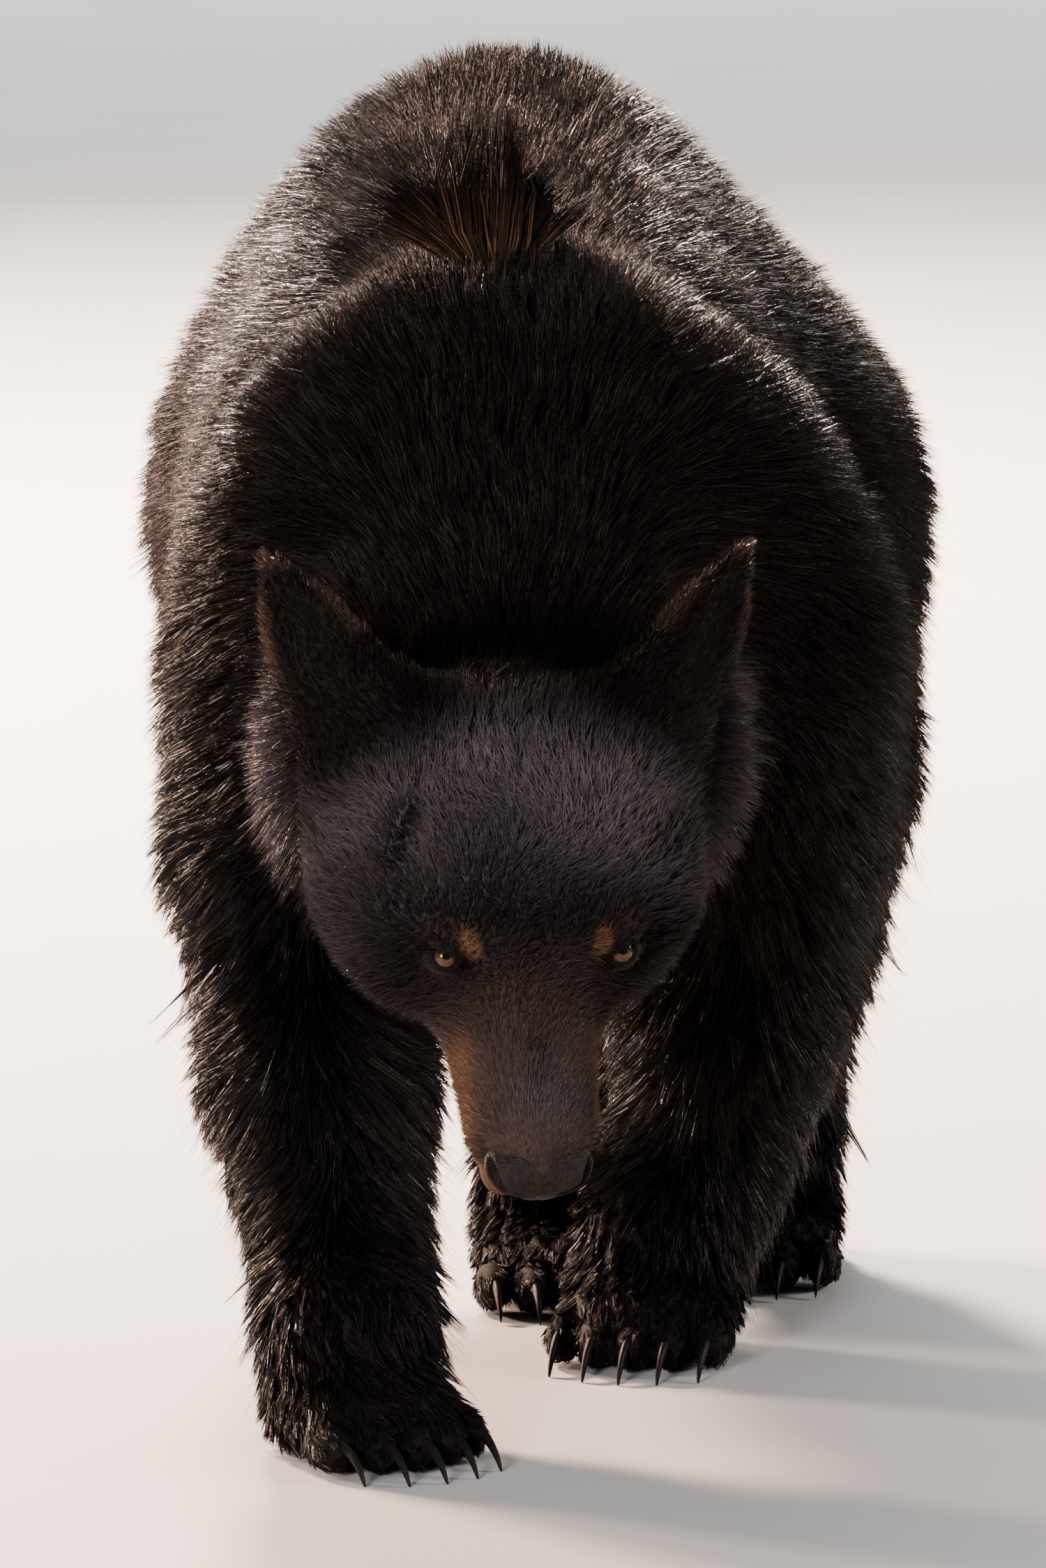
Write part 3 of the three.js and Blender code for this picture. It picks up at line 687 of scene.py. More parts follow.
def velvet_sheen_marks(points):
    """Where the short head fur gets its painted grey sheen, sky light painted in: most on the crown, less
    towards the cheeks and round the eyes, with a painted sheen down the lower bridge and a band of painted rim
    light on the ruff behind each cheek.
    """
    q = HEAD_FRAME.inside(points)
    x = np.abs(q[:, 0])
    back = 1 - ease(q[:, 1] + 0.3 * x, 26, 84)
    side = 1 - 0.35 * ease(x, 60, 120)
    crown = 0.72 + 0.4 * np.exp(-((q[:, 0] / 55) ** 2) - ((q[:, 1] - 10) / 45) ** 2)
    brow = 1 - 0.8 * ease(-q[:, 1], 40, 88)
    # A painted sheen on the lower bridge, down to the nose.
    nose = 0.75 * ease(-q[:, 1], 140, 190) * (1 - ease(x, 14, 36)) * (q[:, 2] > -8)
    # A band of painted rim light on the ruff behind each cheek.
    ruff = 0.5 * ease(x, 100, 125) * band(q[:, 1], -30, 20, 130, 180) * band(q[:, 2], -170, -120, -40, 0)
    return np.maximum(back * side * crown * brow * ease(q[:, 2], -120, -30), ruff) + nose


def opening_at(s, points, size):
    """How far out in the opening of an eye's lids each point is, 1 at its edge, and how deep it lies."""
    q = HEAD_FRAME.then(look_frame(s, LIDS)).inside(points)
    return np.hypot(q[:, 0] / size[0], (q[:, 2] - 1.0) / size[1]), q[:, 1]


def lid_marks(points):
    """1 on the black rims of the eyes."""
    lid = np.zeros(len(points))
    for s in (RIGHT, LEFT):
        out, deep = opening_at(s, points, LID_RIM)
        lid = np.maximum(lid, (1 - ease(out, 1.2, 2.1)) * (np.abs(deep + 14) < 14))
    return lid


# ---- materials


class Nodes:
    """A short way to write a node tree: every call returns the new node's first output."""

    def __init__(self, name):
        self.material = bpy.data.materials.new(name)
        self.material.use_nodes = True
        self.tree = self.material.node_tree
        self.shader = self.tree.nodes["Principled BSDF"]

    def put(self, socket, value):
        if isinstance(value, bpy.types.NodeSocket):
            self.tree.links.new(value, socket)
        else:
            socket.default_value = value

    def set(self, **values):
        for name, value in values.items():
            self.put(self.shader.inputs[name.replace("_", " ").title().replace("Ior", "IOR")], value)

    def add(self, kind, out=0, settings=None, **values):
        node = self.tree.nodes.new(kind)
        for key, value in (settings or {}).items():
            setattr(node, key, value)
        for key, value in values.items():
            self.put(node.inputs[int(key[1:]) if key[1:].isdigit() else key.title()], value)
        return node.outputs[out]

    def read(self, name):
        return self.add("ShaderNodeAttribute", 2, {"attribute_name": name})

    def math(self, operation, a, b=0.0):
        return self.add("ShaderNodeMath", 0, {"operation": operation}, _0=a, _1=b)

    def mix(self, amount, a, b, blend="MIX"):
        return self.add("ShaderNodeMix", 2, {"data_type": "RGBA", "blend_type": blend}, _0=amount, _6=a, _7=b)

    def span(self, value, low, high, to_low=0.0, to_high=1.0):
        return self.add("ShaderNodeMapRange", 0, {}, _0=value, _1=low, _2=high, _3=to_low, _4=to_high)

    def place(self, scale=(1, 1, 1)):
        at = self.add("ShaderNodeTexCoord", 3)
        return self.add("ShaderNodeMapping", 0, {}, vector=at, scale=scale)

    def xyz(self, x, y, z=0.0):
        return self.add("ShaderNodeCombineXYZ", 0, {}, x=x, y=y, z=z)

    def times(self, a, b):
        return self.math("MULTIPLY", a, b)

    def noise(self, vector, scale, detail=3.0, rough=0.5):
        values = {"vector": vector, "scale": scale, "detail": detail, "roughness": rough}
        return self.add("ShaderNodeTexNoise", 0, {}, **values)

    def cells(self, vector, scale):
        return self.add("ShaderNodeTexVoronoi", 0, {}, vector=vector, scale=scale)

    def bump(self, height, strength, distance):
        return self.add("ShaderNodeBump", 0, {}, height=height, strength=strength, distance=distance)


def rgb(r, g, b):
    return (r, g, b, 1.0)


BLACK = rgb(0.0020, 0.0015, 0.0016)
TIP = rgb(0.0045, 0.0032, 0.0031)
# Painted glints: paler tips on a random few tufts, standing in for highlights on dry hair and on the wet legs.
GLINT = rgb(0.038, 0.027, 0.023)
WET_GLINT = rgb(0.036, 0.029, 0.028)
BROWN = rgb(0.100, 0.060, 0.049)
TAN = rgb(0.21, 0.10, 0.045)
# The painted sheen of the short head fur, sky light painted in as grey, and its dimmer patches.
VELVET_SHEEN = rgb(0.168, 0.137, 0.146)
BROWN_SHADE = rgb(0.046, 0.030, 0.027)
VELVET_SHEEN_DIM = rgb(0.070, 0.056, 0.060)


def coat_material(name, rough, specular, tint):
    """Each tuft reads its own seed, how far along it a point is and the markings at its root. Its colour
    carries painted shade towards the root and, on a random few tufts, painted glints at the tip.
    """
    n = Nodes(name)
    seed, along, across = n.read("seed"), n.read("along"), n.read("across")
    strands = n.noise(n.xyz(n.times(across, 2.2), n.times(along, 1.1), n.times(seed, 61.0)), 2.0, 2.0)
    kinks = n.noise(n.xyz(n.times(across, 1.5), n.times(along, 5.5), n.times(seed, 97.0)), 1.6, 2.0)
    patch = n.noise(n.place(), 9.0, 3.0)
    # The tufts of the highest seeds get paler tips: painted glints.
    glint = n.mix(n.read("wet"), GLINT, WET_GLINT)
    tip = n.mix(n.span(seed, 0.78, 0.98), TIP, glint)
    # Each tuft darkens towards its root, painted shade deep in the coat; the brown and the painted sheen fade
    # to black the same way below.
    colour = n.mix(n.math("POWER", along, 2.2), BLACK, tip)
    rise = n.span(along, 0.0, 0.9, 0.35, 1.0)
    velvet_sheen = n.mix(rise, BLACK, n.mix(n.span(patch, 0.4, 0.65), VELVET_SHEEN, VELVET_SHEEN_DIM))
    brown = n.mix(rise, BLACK, n.mix(n.span(patch, 0.4, 0.7), BROWN, BROWN_SHADE))
    # The brown and tan markings, which also carry the ears' painted rim light, and the painted sheen of the
    # head fur.
    colour = n.mix(n.read("brown"), colour, brown)
    colour = n.mix(n.read("velvet_sheen"), colour, velvet_sheen)
    colour = n.mix(n.read("tan"), colour, TAN)
    shade = n.math("ADD", n.times(seed, 0.9), n.span(strands, 0.3, 0.7, 0.1, 0.9))
    grey = n.add("ShaderNodeCombineColor", 0, {}, _0=shade, _1=shade, _2=shade)
    colour = n.mix(1.0, colour, grey, "MULTIPLY")
    n.set(base_color=colour, roughness=n.span(seed, 0.0, 1.0, *rough), specular_ior_level=specular,
          specular_tint=tint, normal=n.bump(kinks, 0.9, 0.0035))
    return n.material


def skin_material():
    """The skin under the coat, as dark as the roots of the fur, with the coat's own markings, its painted
    sheen and the ears' painted rim light.
    """
    n = Nodes("short_fur")
    fine = n.noise(n.place((1, 1, 0.35)), 900.0, 3.0)
    patch = n.noise(n.place(), 30.0, 3.0)
    colour = n.mix(n.span(patch, 0.35, 0.7), BLACK, rgb(0.004, 0.0032, 0.0028))
    # The painted sheen of the head fur; the brown and tan below also carry the ears' painted rim light.
    colour = n.mix(n.read("velvet_sheen"), colour, rgb(0.042, 0.034, 0.037))
    brown = n.mix(n.span(patch, 0.35, 0.7), rgb(0.035, 0.020, 0.015), rgb(0.022, 0.013, 0.010))
    colour = n.mix(n.read("brown"), colour, brown)
    colour = n.mix(n.read("tan"), colour, rgb(0.085, 0.042, 0.020))
    colour = n.mix(n.read("lid"), colour, rgb(0.0022, 0.0018, 0.0018))
    n.set(base_color=colour, roughness=n.span(fine, 0.3, 0.7, 0.6, 0.8), specular_ior_level=0.06,
          normal=n.bump(fine, 0.6, 0.0008))
    return n.material


def nose_material():
    """Dark pebbled leather, painted black in and round the nostrils as shade."""
    n = Nodes("nose_leather")
    pebble = n.cells(n.place(), 620.0)
    grain = n.noise(n.place(), 300.0, 4.0)
    colour = n.mix(n.span(grain, 0.3, 0.7), rgb(0.0080, 0.0062, 0.0056), rgb(0.0170, 0.0135, 0.0120))
    colour = n.mix(n.read("nostril_shade"), colour, rgb(0.0012, 0.0008, 0.0008))
    n.set(base_color=colour, roughness=n.span(grain, 0.3, 0.7, 0.46, 0.62),
          specular_ior_level=0.05, normal=n.bump(pebble, 0.6, 0.0009))
    return n.material


def claw_material():
    """Dark horn with fine lines along each claw, a little paler towards the point."""
    n = Nodes("claw_horn")
    lines = n.noise(n.place((1, 1, 0.15)), 500.0, 3.0)
    along = n.read("along")
    colour = n.mix(along, rgb(0.003, 0.0026, 0.0024), rgb(0.007, 0.006, 0.0052))
    colour = n.mix(n.span(lines, 0.4, 0.7, 0, 0.4), colour, rgb(0.013, 0.011, 0.0095))
    n.set(base_color=colour, roughness=n.span(lines, 0.3, 0.7, 0.36, 0.54), specular_ior_level=0.06,
          normal=n.bump(lines, 0.25, 0.0004))
    return n.material


def eye_material():
    """Rings about the line of sight: pupil, brown iris with radial threads, dark rim, dark white."""
    n = Nodes("eye_wet")
    ring, around = n.read("ring"), n.read("around")
    threads = n.noise(n.xyz(around, n.times(ring, 2.0)), 40.0, 3.0)
    iris = n.mix(n.span(threads, 0.35, 0.65), rgb(0.026, 0.010, 0.005), rgb(0.070, 0.030, 0.016))
    colour = n.mix(n.span(ring, 0.20, 0.23), rgb(0.002, 0.002, 0.002), iris)
    colour = n.mix(n.span(ring, 0.52, 0.60), colour, rgb(0.008, 0.004, 0.003))
    colour = n.mix(n.span(ring, 0.66, 0.85), colour, rgb(0.02, 0.011, 0.009))
    n.set(base_color=colour, roughness=0.06)
    n.shader.inputs["Specular IOR Level"].default_value = 0.2
    n.shader.inputs["Coat Weight"].default_value = 0.12
    n.shader.inputs["Coat Roughness"].default_value = 0.03
    return n.material


FUR = coat_material("black_fur", (0.58, 0.20), 0.11, rgb(1.0, 0.80, 0.68))
WET_FUR = coat_material("wet_fur", (0.38, 0.16), 0.21, rgb(1.0, 0.86, 0.78))
CREST_FUR = coat_material("crest_fur", (0.65, 0.45), 0.05, rgb(1.0, 0.85, 0.75))
SKIN_FUR = skin_material()

# ---- the skin

skin_points = read(skin_mesh.vertices, "co")
skin_mesh.shade_smooth()
MARKINGS = {"tan": tan_and_rim_light_marks, "brown": brown_and_rim_light_marks, "velvet_sheen": velvet_sheen_marks, "lid": lid_marks}
for key, marks_of in MARKINGS.items():
    mark(skin_mesh, key, marks_of(skin_points))

face_centres = read(skin_mesh.polygons, "center")
face_areas = read(skin_mesh.polygons, "area", 1)[:, 0]
face_normals = read(skin_mesh.polygons, "normal")
skin_mesh.vertices.foreach_set("co", packed(skin_points).ravel())
skin_mesh.update()
skin_mesh.materials.append(SKIN_FUR)
flesh = [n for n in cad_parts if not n.startswith("eye_") and n != "nose_pad"]
piece("skin", skin_mesh, flesh)

# ---- how the fur lies

GROUPS = SKIN.groups


def lie_of(group, points, normals):
    """The way the fur lies in one group of masses, before it is laid along the skin."""
    side = np.abs(normals[:, 0])
    out = np.zeros_like(points)
    if group == "trunk":
        out[:, 1] = 0.9
        out[:, 2] = -0.12 - 0.85 * ease(side, 0.15, 0.8)
        out[:, 0] = normals[:, 0] * 0.2
    elif group == "neck":
        under = ease(-normals[:, 2], -0.2, 0.6)
        out[:, 1] = 0.9
        out[:, 2] = 0.25 - 0.8 * ease(side, 0.2, 0.9) - under
    elif group == "tail":
        out[:] = (0, 0.6, -1)
    elif group in ("head", "muzzle"):
        q = HEAD_FRAME.inside(points)
        out = (q - (0, -245, -12)) * (1, 1, 0.8) @ HEAD_FRAME.turn.T
    elif group.startswith("ear"):
        word = group.split("_")[1]
        out[:] = HEAD_FRAME.then(ear_frame(SIDES[word])).turn[:, 2]
    elif "paw" in group:
        forward = -paw_frame(group.replace("paw", "leg")).turn[:, 1]
        out[:] = forward * 0.8 + (0, 0, -0.7)
    else:
        out[:] = (0, 0.25, -1)
        out[:, 0] = normals[:, 0] * 1.1
    return unit(out)


# For each group: tuft spacing, length and width in mm, how hard clumps pull, tufts in a clump and
# scatter in degrees.
COAT = {
    "trunk": (2.6, 32, 1.7, 0.6, 9, 16),
    "neck": (2.6, 34, 1.7, 0.6, 9, 14),
    "tail": (3, 36, 2.4, 0.5, 10, 10),
    "head": (1.7, 15, 1.2, 0.65, 7, 34),
    "muzzle": (1.7, 6, 1.0, 0.15, 5, 10),
    "ear": (1.9, 8, 1.2, 0.3, 6, 12),
    "leg": (2.5, 50, 1.5, 0.8, 13, 9),
    "paw": (2.2, 20, 1.3, 0.85, 14, 12),
}


def kind_of(group):
    """The row of COAT that a group of masses takes."""
    return next(k for k in ("ear", "paw", "leg", group) if k in group)


RNG = np.random.default_rng(7)


def blends_at(points):
    """How much each group of masses has a say at each point, and which has the most."""
    d = SKIN.by_group(points)
    w = np.exp(-(d - d.min(axis=1, keepdims=True)) / 16)
    return w / w.sum(axis=1, keepdims=True), d.argmin(axis=1)


def measures(weights):
    """The columns of COAT at each point."""
    return weights @ np.array([COAT[kind_of(g)] for g in GROUPS], float)


def share_of(words, weights):
    """How much the groups with any of these words in their names have a say."""
    return weights[:, [i for i, g in enumerate(GROUPS) if any(w in g for w in words)]].sum(1)


# The bare leather of the nose begins this far before the head's middle, and nearer to it at the sides.
LEATHER = {"front": 229, "swell": 17, "half": 30, "bottom": -27}
SOLE = 1.5  # skin this near the floor bears no fur


def bare_skin(points):
    """Where no fur grows: the soles, the leather of the nose and the opening of the lids."""
    q = HEAD_FRAME.inside(points)
    swell = LEATHER["swell"] * (q[:, 0] / LEATHER["half"]).clip(-1.1, 1.1) ** 2
    bare = (points[:, 2] < SOLE) | ((-q[:, 1] > LEATHER["front"] - swell) & (q[:, 2] > LEATHER["bottom"]))
    for s in (RIGHT, LEFT):
        out, deep = opening_at(s, points, LID_BARE)
        bare |= (out < 1) & (np.abs(deep) < 20)
    return bare


def roots():
    """Where the tufts are rooted, scattered evenly over each face of the skin."""
    weights, main = blends_at(face_centres)
    spacing = measures(weights)[:, 0] * (1 + 0.3 * ease(-face_normals[:, 2], 0.3, 0.8))
    spacing = spacing * (1 + 0.08 * ease(face_centres[:, 1], 560, 900))
    wanted = np.where(bare_skin(face_centres), 0, face_areas / spacing**2)
    number = np.floor(wanted + RNG.random(len(wanted))).astype(int)
    face = np.repeat(np.arange(len(number)), number)
    corners = [tuple(p.vertices) for p in skin_mesh.polygons]
    loops = np.array([c if len(c) == 4 else (*c[:3], c[2]) for c in corners])
    u, v = RNG.random(len(face)), RNG.random(len(face))
    c = skin_points[loops[face]]
    at = (c[:, 0] * ((1 - u) * (1 - v))[:, None] + c[:, 1] * (u * (1 - v))[:, None]
          + c[:, 2] * (u * v)[:, None] + c[:, 3] * ((1 - u) * v)[:, None])
    return at, face_normals[face], weights[face], main[face]


at, normals, weights, main = roots()


def spread(points, normals_, weights_):
    """The lie of the fur, blended between the groups of masses."""
    lie = np.zeros_like(points)
    for i, g in enumerate(GROUPS):
        use = weights_[:, i] > 0.02
        lie[use] += weights_[use, i:i + 1] * lie_of(g, points[use], normals_[use])
    return lie


def along_skin(v, normals_):
    return unit(v - normals_ * (v * normals_).sum(1, keepdims=True))


def turned(v, axis, angle):
    c, s = np.cos(angle)[:, None], np.sin(angle)[:, None]
    return v * c + np.cross(axis, v) * s


def ripple(points, wave, seed):
    """A smooth random swell over the body, about -1 to 1, whose bumps are wave mm across."""
    draw = np.random.default_rng(seed)
    ways = unit(draw.normal(size=(6, 3))) * 2 * math.pi / wave * draw.uniform(0.6, 1.4, (6, 1))
    return np.sin(points @ ways.T + draw.uniform(0, 6.3, 6)).sum(1) / 2.6


def scar_at(q):
    """1 in the old scar on the right of the forehead, where the fur parts and lies low."""
    return near_line(q, *SCAR, SCAR_REACH)


def nape_at(q):
    """1 behind the crown, between the ears, where the fur stands up and its tufts are painted darker, as
    shade.
    """
    return band(q[:, 1], 30, 60, 110, 140) * (np.abs(q[:, 0]) < 75) * (q[:, 2] > 0)


# The stray hairs low on the legs: their share of the tufts, and how they differ from the rest.
STRAY = {"share": 0.035, "below": 330, "longer": 0.5, "lift": 1.2, "finer": 0.5}
ROOT_DEPTH = 0.6  # how far under the skin each tuft begins
LENGTH_SCATTER, TIP_SCATTER = 0.16, 0.18  # how much one tuft differs from the next, as a share
EYE_FUR = (15, 42)  # from the shortest to the full length, by how far the eye is
LEAST_HEIGHT = 1.2  # no tuft comes nearer than this to the floor
LEAST_RISE = 1.5  # how far a tip stands over skin that has no coat's depth above it


def spines(at, normals, weights):
    """Each tuft's root and tip, which ends near the coat's outside, with its width and how it clumps."""
    length, width, pull, clump, scatter = measures(weights).T[1:]
    lie = spread(at, normals, weights)
    q = HEAD_FRAME.inside(at)
    far_back = ease(q[:, 1], -70, 60)
    head = weights[:, GROUPS.index("head")]
    length = length * (1 + head * (0.5 * far_back - 0.25)) * (1 + 0.12 * ripple(at, 90, 3))
    length = length * (0.35 + 0.65 * ease(eye_distance(q), *EYE_FUR))
    length = length * RNG.normal(1, LENGTH_SCATTER, len(at)).clip(0.6, 1.5)
    tilt = scatter * (RNG.normal(0, 1, len(at)) + 1.2 * ripple(at, 70, 4))
    lie = turned(along_skin(lie, normals), normals, np.radians(tilt))
    height = -OUTSIDE(at)
    leg = share_of(("leg",), weights)
    tip = RNG.normal(0, TIP_SCATTER, len(at)) - 0.04 + 0.2 * leg + 0.06 * ripple(at, 40, 5)
    scar, nape = scar_at(q), nape_at(q)
    length = length * (1 - 0.6 * scar + 0.3 * nape)
    tip = tip - 0.4 * scar + 0.9 * nape
    length = np.minimum(length, 5 + 2.3 * np.maximum(height, 0))
    stray = RNG.random(len(at)) < STRAY["share"] * leg * (at[:, 2] < STRAY["below"])
    length = length * (1 + STRAY["longer"] * stray)
    tip = tip + STRAY["lift"] * stray
    width, pull = width * (1 - STRAY["finer"] * stray), pull * (1 - stray)
    root = at - normals * ROOT_DEPTH
    end = root + along_skin(lie, normals) * length[:, None] * 0.92 + normals * height[:, None]
    here, g = OUTSIDE.slope(end)
    rise = np.where(height < LEAST_RISE, LEAST_RISE - height, height * tip)
    miss = (rise - here) / np.maximum(lengths(g), 0.3)
    end = end + unit(g) * np.clip(miss, -length * 0.6, length * 0.6)[:, None]
    return np.stack([root, end], 1), width, pull, clump


def clumped(lines, pull, clump):
    """Draws the tips of neighbouring tufts together into pointed locks."""
    centre = np.flatnonzero(RNG.random(len(lines)) < 1 / clump)
    tree = KDTree(len(centre))
    for i, c in enumerate(centre):
        tree.insert(lines[c, 0], i)
    tree.balance()
    near = np.array([tree.find(p)[1] for p in lines[:, 0].tolist()])
    lead = lines[centre[near]]
    gap = lengths(lead[:, 0] - lines[:, 0])
    size = lengths(lines[:, -1] - lines[:, 0])
    pull = pull * RNG.uniform(0.5, 1.2, len(centre))[near] * (1 - ease(gap / size, 0.5, 1.2))
    out = lines.copy()
    for k in range(1, lines.shape[1]):
        t = k / (lines.shape[1] - 1)
        w = (pull * t**1.4).clip(0, 0.92)[:, None]
        out[:, k] = lines[:, k] * (1 - w) + lead[:, k] * w
    return out


# ---- tufts and their charts

UV_PATCH = 0.003
UV_EDGE = 0.01


def tuft_mesh(name, lines, width, normals, seed, charts, marks, material):
    """Closed three-sided tapered tufts, one for each spine."""
    rings = lines.shape[1] - 1
    count = len(lines)
    profile = np.array([0.8, 1.0, 0.7])[:rings] if rings > 1 else np.ones(1)
    heading = np.gradient(lines, axis=1) if rings > 1 else np.repeat(lines[:, 1:] - lines[:, :1], 2, 1)
    heading = unit(heading)
    across = unit(np.cross(heading, normals[:, None, :]))
    up = np.cross(across, heading)
    roll = ((seed * 61) % 1 - 0.5)[:, None, None] * 2
    up, across = up * np.cos(roll) + across * np.sin(roll), across * np.cos(roll) - up * np.sin(roll)
    half = width[:, None] * profile / 2
    thick = half * 0.55
    body = lines[:, :rings]
    corners = np.stack([
        body + up[:, :rings] * thick[..., None],
        body - up[:, :rings] * (thick * 0.5)[..., None] - across[:, :rings] * half[..., None],
        body - up[:, :rings] * (thick * 0.5)[..., None] + across[:, :rings] * half[..., None],
    ], 2).reshape(count, rings * 3, 3)
    vertices = np.concatenate([corners, lines[:, rings:]], 1)
    each = rings * 3 + 1
    last = (rings - 1) * 3
    tip = [(last + c, each - 1, last + (c + 1) % 3) for c in range(3)]
    faces = [(0, 1, 2), *tube_faces(rings, 3), *tip]
    all_faces = (np.array(faces)[None] + (np.arange(count) * each)[:, None, None]).reshape(-1, 3)
    mesh_ = mesh_from(name, packed(vertices.reshape(-1, 3)), all_faces)
    mesh_.shade_flat()
    along = np.append(np.repeat(np.arange(rings) / rings, 3), 1)
    sideways = np.append(np.tile([0, -1, 1], rings), 0)
    mark(mesh_, "along", np.tile(along, count))
    mark(mesh_, "across", np.tile(sideways, count))
    mark(mesh_, "seed", np.repeat(seed, each))
    for key, values in marks.items():
        mark(mesh_, key, np.repeat(values, each) if values.ndim == 1 else values.ravel())
    uv = charts[:, None, :] + np.stack([sideways * 0.5, along - 0.5], 1)[None] * UV_PATCH
    uv = uv.reshape(-1, 2)[all_faces.ravel()]
    mesh_.uv_layers.new(name="OFBake").data.foreach_set("uv", uv.ravel())
    mesh_.materials.append(material)
    return mesh_


def chart(points, origin, axis, start):
    """The unwrap of one part of the skin: the angle about its own axis, and the way along it."""
    axis = unit(axis)
    u = unit(np.cross(axis, start))
    v = np.cross(axis, u)
    q = points - origin
    uv = np.stack([np.arctan2(q @ u, q @ v), q @ axis], 1)
    low, high = uv.min(0), uv.max(0)
    return UV_EDGE + (1 - 2 * UV_EDGE) * (uv - low) / (high - low)


# ---- the crest and the pieces of the coat

# The parted fur over the withers: where it is rooted, how high it may stand, how many tufts stand for
# each one of the coat's own, their width, and how they clump.
CREST = {
    "at": (-17, 380), "size": (17, 34), "top": 857,
    "density": 5, "width": 1.25, "pull": 0.75, "clump": 40,
}
# Its locks, each with the part of the roots it takes in (from -1 on the bear's right to 1 on its left),
# its lean to the left in degrees, its length and its curl.
LOCKS = [
    (-0.95, -42, 112, 0.62), (-0.6, -34, 124, 0.34), (-0.22, -25, 100, 0.28),
    (0.08, 2, 122, 0.0), (0.42, 14, 94, 0.12), (0.85, 32, 86, 0.32),
]
CREST_FADE = [1.0, 0.7, 0.1, 0.0]  # how far the brown of a lock reaches, from its root to its tip
STEPS = np.linspace(0, 1, 4)[None, :, None]


def crest_spines(at):
    """How brown each tuft is, and its line in a fan of locks that stand up and fall to either side."""
    (x, y), (wide, long) = CREST["at"], CREST["size"]
    u = (at[:, 0] - x) / wide + RNG.normal(0, 0.12, len(at))
    v = (at[:, 1] - y) / long
    table = np.array(LOCKS)
    lock = np.abs(u[:, None] - table[:, 0]).argmin(axis=1)
    middle, lean, length, curl = table[lock].T
    turn = np.radians(lean + RNG.normal(0, 6, len(at)))
    length = length * (1 - 0.15 * v) * RNG.normal(1, 0.12, len(at)).clip(0.6, 1.06)
    heading = unit(np.stack([np.sin(turn), 0.3 + 0.15 * v, np.cos(turn)], 1))
    side = np.sign(lean)
    bend = np.stack([curl * side, np.full(len(at), 0.15), -curl * 1.1], 1)
    gather = np.stack([(middle - u) * wide * 0.85, -v * long * 0.6, np.zeros(len(at))], 1)
    run = heading[:, None] * STEPS * 0.9 + bend[:, None] * STEPS**2 * 0.5
    fan = at[:, None] + gather[:, None] * STEPS + length[:, None, None] * run
    return 0.18 + 0.82 * ease((middle - u) * side, 0.05, 0.15), fan


BANDS = {"neck": 330, "shoulder": 580, "barrel": 860}  # where each band of the trunk's coat ends


def coat_pieces():
    """Which piece of the coat each tuft belongs to."""
    names = np.array(GROUPS)[main]
    side = np.where(at[:, 0] > -10, "left", "right")
    where = np.select([at[:, 1] < end for end in BANDS.values()], list(BANDS), "hindquarter")
    trunk = (names == "trunk") | (names == "neck")
    part = np.where(trunk, np.char.add(np.char.add(where, "_"), side), names)
    part = np.where(names == "head", np.where(head_at[:, 2] > 20, "crown", "cheeks"), part)
    off = (at[:, :2] - CREST["at"]) / CREST["size"]
    in_crest = (lengths(off) < 1) & (normals[:, 2] > 0.2) & trunk
    return np.where(in_crest, "crest", part)


def winding(part):
    """The axis that the chart of one piece of the coat is wound about, and where it starts."""
    if "leg" in part or "paw" in part:
        return (0.02, 0.1, 1), (0, 1, 0)
    if part in ("crown", "cheeks", "muzzle"):
        return HEAD_FRAME.turn[:, 1], (0, 0, 1)
    if part.startswith("ear"):
        return HEAD_FRAME.then(ear_frame(SIDES[part[4:]])).turn[:, 2], (0, 1, 0)
    return (0, 1, 0), (0, 0, 1)


def coat_piece(part, roots_, lines_, width_, seeds_, marks, material):
    """One piece of the coat, with its chart."""
    charts = chart(at[roots_], at[roots_].mean(0), *winding(part))
    mesh_ = tuft_mesh(f"coat_{part}", lines_, width_, normals[roots_], seeds_, charts, marks, material)
    piece(f"coat_{part}", mesh_)


head_at = HEAD_FRAME.inside(at)
parts = coat_pieces()
# Lower seeds behind the crown paint shade on the nape: its tufts come out darker and without painted glints.
seeds = RNG.random(len(at)) * (1 - 0.8 * nape_at(head_at))
open_fur = 1 - lid_marks(at)
marks_at = {
    "tan": tan_and_rim_light_marks(at) * open_fur,
    "brown": brown_and_rim_light_marks(at) * open_fur,
    # The painted sheen is left out of the scar, which paints it darker, as shade in its groove.
    "velvet_sheen": velvet_sheen_marks(at) * open_fur * (1 - 0.8 * scar_at(head_at)),
    "wet": share_of(("leg", "paw"), weights),
}
lines = np.empty((len(at), 2, 3))
width = np.empty(len(at))
crest = np.flatnonzero(parts == "crest")
chosen = np.flatnonzero(parts != "crest")
some, width[chosen], pull, clump = spines(at[chosen], normals[chosen], weights[chosen])
lines[chosen] = clumped(some, pull, clump)
lines[:, :, 2] = np.maximum(lines[:, :, 2], LEAST_HEIGHT)
for part in sorted(set(parts) - {"crest"}):
    chosen = np.flatnonzero(parts == part)
    marks = {key: values[chosen] for key, values in marks_at.items()}
    material = WET_FUR if "leg" in part or "paw" in part else FUR
    coat_piece(part, chosen, lines[chosen], width[chosen], seeds[chosen], marks, material)

